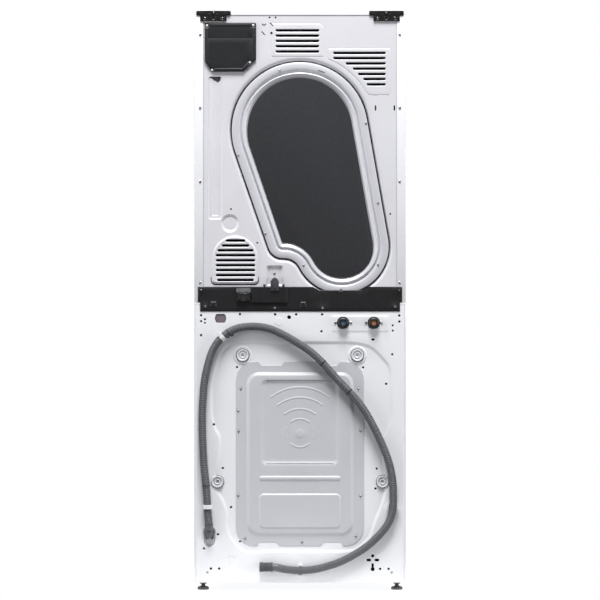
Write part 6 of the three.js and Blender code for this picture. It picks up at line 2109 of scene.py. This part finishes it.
class LaundrySizes(bpy.types.PropertyGroup):
    """Small sizes that a user would change."""

    hose_rib_pitch: length_setting(
        "Hose rib pitch", "From one rib of the hose to the next", 0.005, 0.002, 0.01,
    )
    hose_rib_depth: length_setting(
        "Hose rib depth", "How far the ribs stand out of the hose", 0.0017, 0.0002, 0.002,
    )
    drum_hole: length_setting(
        "Drum hole", "Radius of a hole in the washer's drum", 0.0022, 0.0008, 0.004,
    )


class LaundryStage(bpy.types.PropertyGroup):
    """The camera and the lights."""

    lens: bpy.props.FloatProperty(
        name="Lens", description="Focal length of the camera", default=180.0, min=20.0, max=400.0
    )
    camera_distance: length_setting(
        "Camera distance", "From the tower's middle, along +Y", 8.82, 2.0, 30.0,
    )
    camera_height: length_setting("Camera height", "Above the floor", 0.8265, 0.1, 4.0)
    fill: bpy.props.FloatProperty(
        name="Fill", description="Light from all round", default=0.14, min=0.0, max=4.0,
    )
    overhead: bpy.props.FloatProperty(
        name="Overhead box", description="Power of the light above", unit="POWER", default=520.0, min=0.0
    )
    side_boxes: bpy.props.FloatProperty(
        name="Side boxes", description="Power of each light at the side", unit="POWER", default=49.0, min=0.0
    )


class LAUNDRY_OT_stage(bpy.types.Operator):
    """Sets the camera, the floor and the soft boxes"""

    bl_idname = "laundry.stage"
    bl_label = "Stage"

    def execute(self, context):
        build_stage()
        return {"FINISHED"}


class LAUNDRY_OT_drain_hose(bpy.types.Operator):
    """Lays the ribbed drain hose with its elbow, cuff, clips and tie"""

    bl_idname = "laundry.drain_hose"
    bl_label = "Drain Hose"

    def execute(self, context):
        build_drain_hose()
        return {"FINISHED"}


class LAUNDRY_OT_dryer_back(bpy.types.Operator):
    """Presses the dryer's back sheet with its grilles, channel and duct mouth"""

    bl_idname = "laundry.dryer_back"
    bl_label = "Dryer Back"

    def execute(self, context):
        build_back_panel()
        return {"FINISHED"}


class LAUNDRY_OT_rear_duct(bpy.types.Operator):
    """Forms the pear-shaped duct ring and its insulating pad"""

    bl_idname = "laundry.rear_duct"
    bl_label = "Rear Duct"

    def execute(self, context):
        build_rear_duct()
        return {"FINISHED"}


class LAUNDRY_OT_back_fittings(bpy.types.Operator):
    """Adds the terminal cover, the strap brackets, the joining strap and the harness plug"""

    bl_idname = "laundry.back_fittings"
    bl_label = "Back Fittings"

    def execute(self, context):
        build_terminal_cover()
        build_corner_brackets()
        build_joining_plate()
        return {"FINISHED"}


class LAUNDRY_OT_dryer_casing(bpy.types.Operator):
    """Folds the dryer's sides and lid"""

    bl_idname = "laundry.dryer_casing"
    bl_label = "Dryer Casing"

    def execute(self, context):
        build_dryer_casing()
        return {"FINISHED"}


class LAUNDRY_OT_washer_cabinet(bpy.types.Operator):
    """Folds the washer's cabinet and presses its back"""

    bl_idname = "laundry.washer_cabinet"
    bl_label = "Washer Cabinet"

    def execute(self, context):
        build_washer_cabinet()
        return {"FINISHED"}


class LAUNDRY_OT_washer_cover(bpy.types.Operator):
    """Presses the washer's rear service cover"""

    bl_idname = "laundry.washer_cover"
    bl_label = "Washer Service Cover"

    def execute(self, context):
        build_washer_cover()
        return {"FINISHED"}


class LAUNDRY_OT_inlets(bpy.types.Operator):
    """Adds the cold and hot water inlets"""

    bl_idname = "laundry.inlets"
    bl_label = "Water Inlets"

    def execute(self, context):
        build_inlet_valves()
        return {"FINISHED"}


class LAUNDRY_OT_feet(bpy.types.Operator):
    """Adds the four levelling feet"""

    bl_idname = "laundry.feet"
    bl_label = "Levelling Feet"

    def execute(self, context):
        build_feet()
        return {"FINISHED"}


class LAUNDRY_OT_fronts(bpy.types.Operator):
    """Presses both front panels"""

    bl_idname = "laundry.fronts"
    bl_label = "Front Panels"

    def execute(self, context):
        build_front_panels()
        return {"FINISHED"}


class LAUNDRY_OT_doors(bpy.types.Operator):
    """Turns both doors, with their glass and hinges"""

    bl_idname = "laundry.doors"
    bl_label = "Doors"

    def execute(self, context):
        build_door("washer_door", WASHER_DOOR, "washer_door", "washer_door_glass", "washer_door_hinge")
        build_door("dryer_door", DRYER_DOOR, "dryer_door", "dryer_door_glass", "dryer_door_hinge")
        return {"FINISHED"}


class LAUNDRY_OT_controls(bpy.types.Operator):
    """Makes the control fascia with its display, knobs and buttons"""

    bl_idname = "laundry.controls"
    bl_label = "Controls"

    def execute(self, context):
        build_control_panel()
        return {"FINISHED"}


class LAUNDRY_OT_drawer(bpy.types.Operator):
    """Moulds the detergent drawer and the drain filter's flap"""

    bl_idname = "laundry.drawer"
    bl_label = "Drawer and Flap"

    def execute(self, context):
        build_drawer()
        build_pump_cover()
        return {"FINISHED"}


class LAUNDRY_OT_drums(bpy.types.Operator):
    """Makes both drums, the door bellows and the lint filter"""

    bl_idname = "laundry.drums"
    bl_label = "Drums"

    def execute(self, context):
        build_gasket()
        build_drums()
        build_lint_filter()
        return {"FINISHED"}


class LAUNDRY_OT_inner_parts(bpy.types.Operator):
    """Adds the belt, springs, dampers and wiring, and finishes the inner parts"""

    bl_idname = "laundry.inner_parts"
    bl_label = "Inner Parts"

    def execute(self, context):
        build_drive_belt()
        build_suspension()
        build_wiring()
        dress_inner_parts()
        return {"FINISHED"}


PIECES = (
    LAUNDRY_OT_stage, LAUNDRY_OT_drain_hose, LAUNDRY_OT_dryer_back, LAUNDRY_OT_rear_duct,
    LAUNDRY_OT_back_fittings, LAUNDRY_OT_dryer_casing, LAUNDRY_OT_washer_cabinet,
    LAUNDRY_OT_washer_cover, LAUNDRY_OT_inlets, LAUNDRY_OT_feet, LAUNDRY_OT_fronts, LAUNDRY_OT_doors,
    LAUNDRY_OT_controls, LAUNDRY_OT_drawer, LAUNDRY_OT_drums, LAUNDRY_OT_inner_parts,
)


class LAUNDRY_PT_tower(bpy.types.Panel):
    """Lists the tower's pieces"""

    bl_idname = "LAUNDRY_PT_tower"
    bl_label = "Laundry Tower"
    bl_space_type = "VIEW_3D"
    bl_region_type = "UI"
    bl_category = "Laundry"

    def draw(self, context):
        for settings in (
            context.scene.laundry_colours,
            context.scene.laundry_sizes,
            context.scene.laundry_stage,
        ):
            column = self.layout.column()
            for key in settings.__annotations__:
                column.prop(settings, key)
        for piece in PIECES:
            self.layout.operator(piece.bl_idname)


SETTINGS = {
    "laundry_colours": LaundryColours, "laundry_sizes": LaundrySizes, "laundry_stage": LaundryStage,
}


def register():
    for group in (*SETTINGS.values(), *PIECES, LAUNDRY_PT_tower):
        bpy.utils.register_class(group)
    for key, group in SETTINGS.items():
        setattr(bpy.types.Scene, key, bpy.props.PointerProperty(type=group))


def unregister():
    for key in SETTINGS:
        delattr(bpy.types.Scene, key)
    for group in reversed((*SETTINGS.values(), *PIECES, LAUNDRY_PT_tower)):
        bpy.utils.unregister_class(group)


def main():
    register()
    for piece in PIECES:
        group, action = piece.bl_idname.split(".")
        getattr(getattr(bpy.ops, group), action)()


if __name__ == "__main__":
    main()
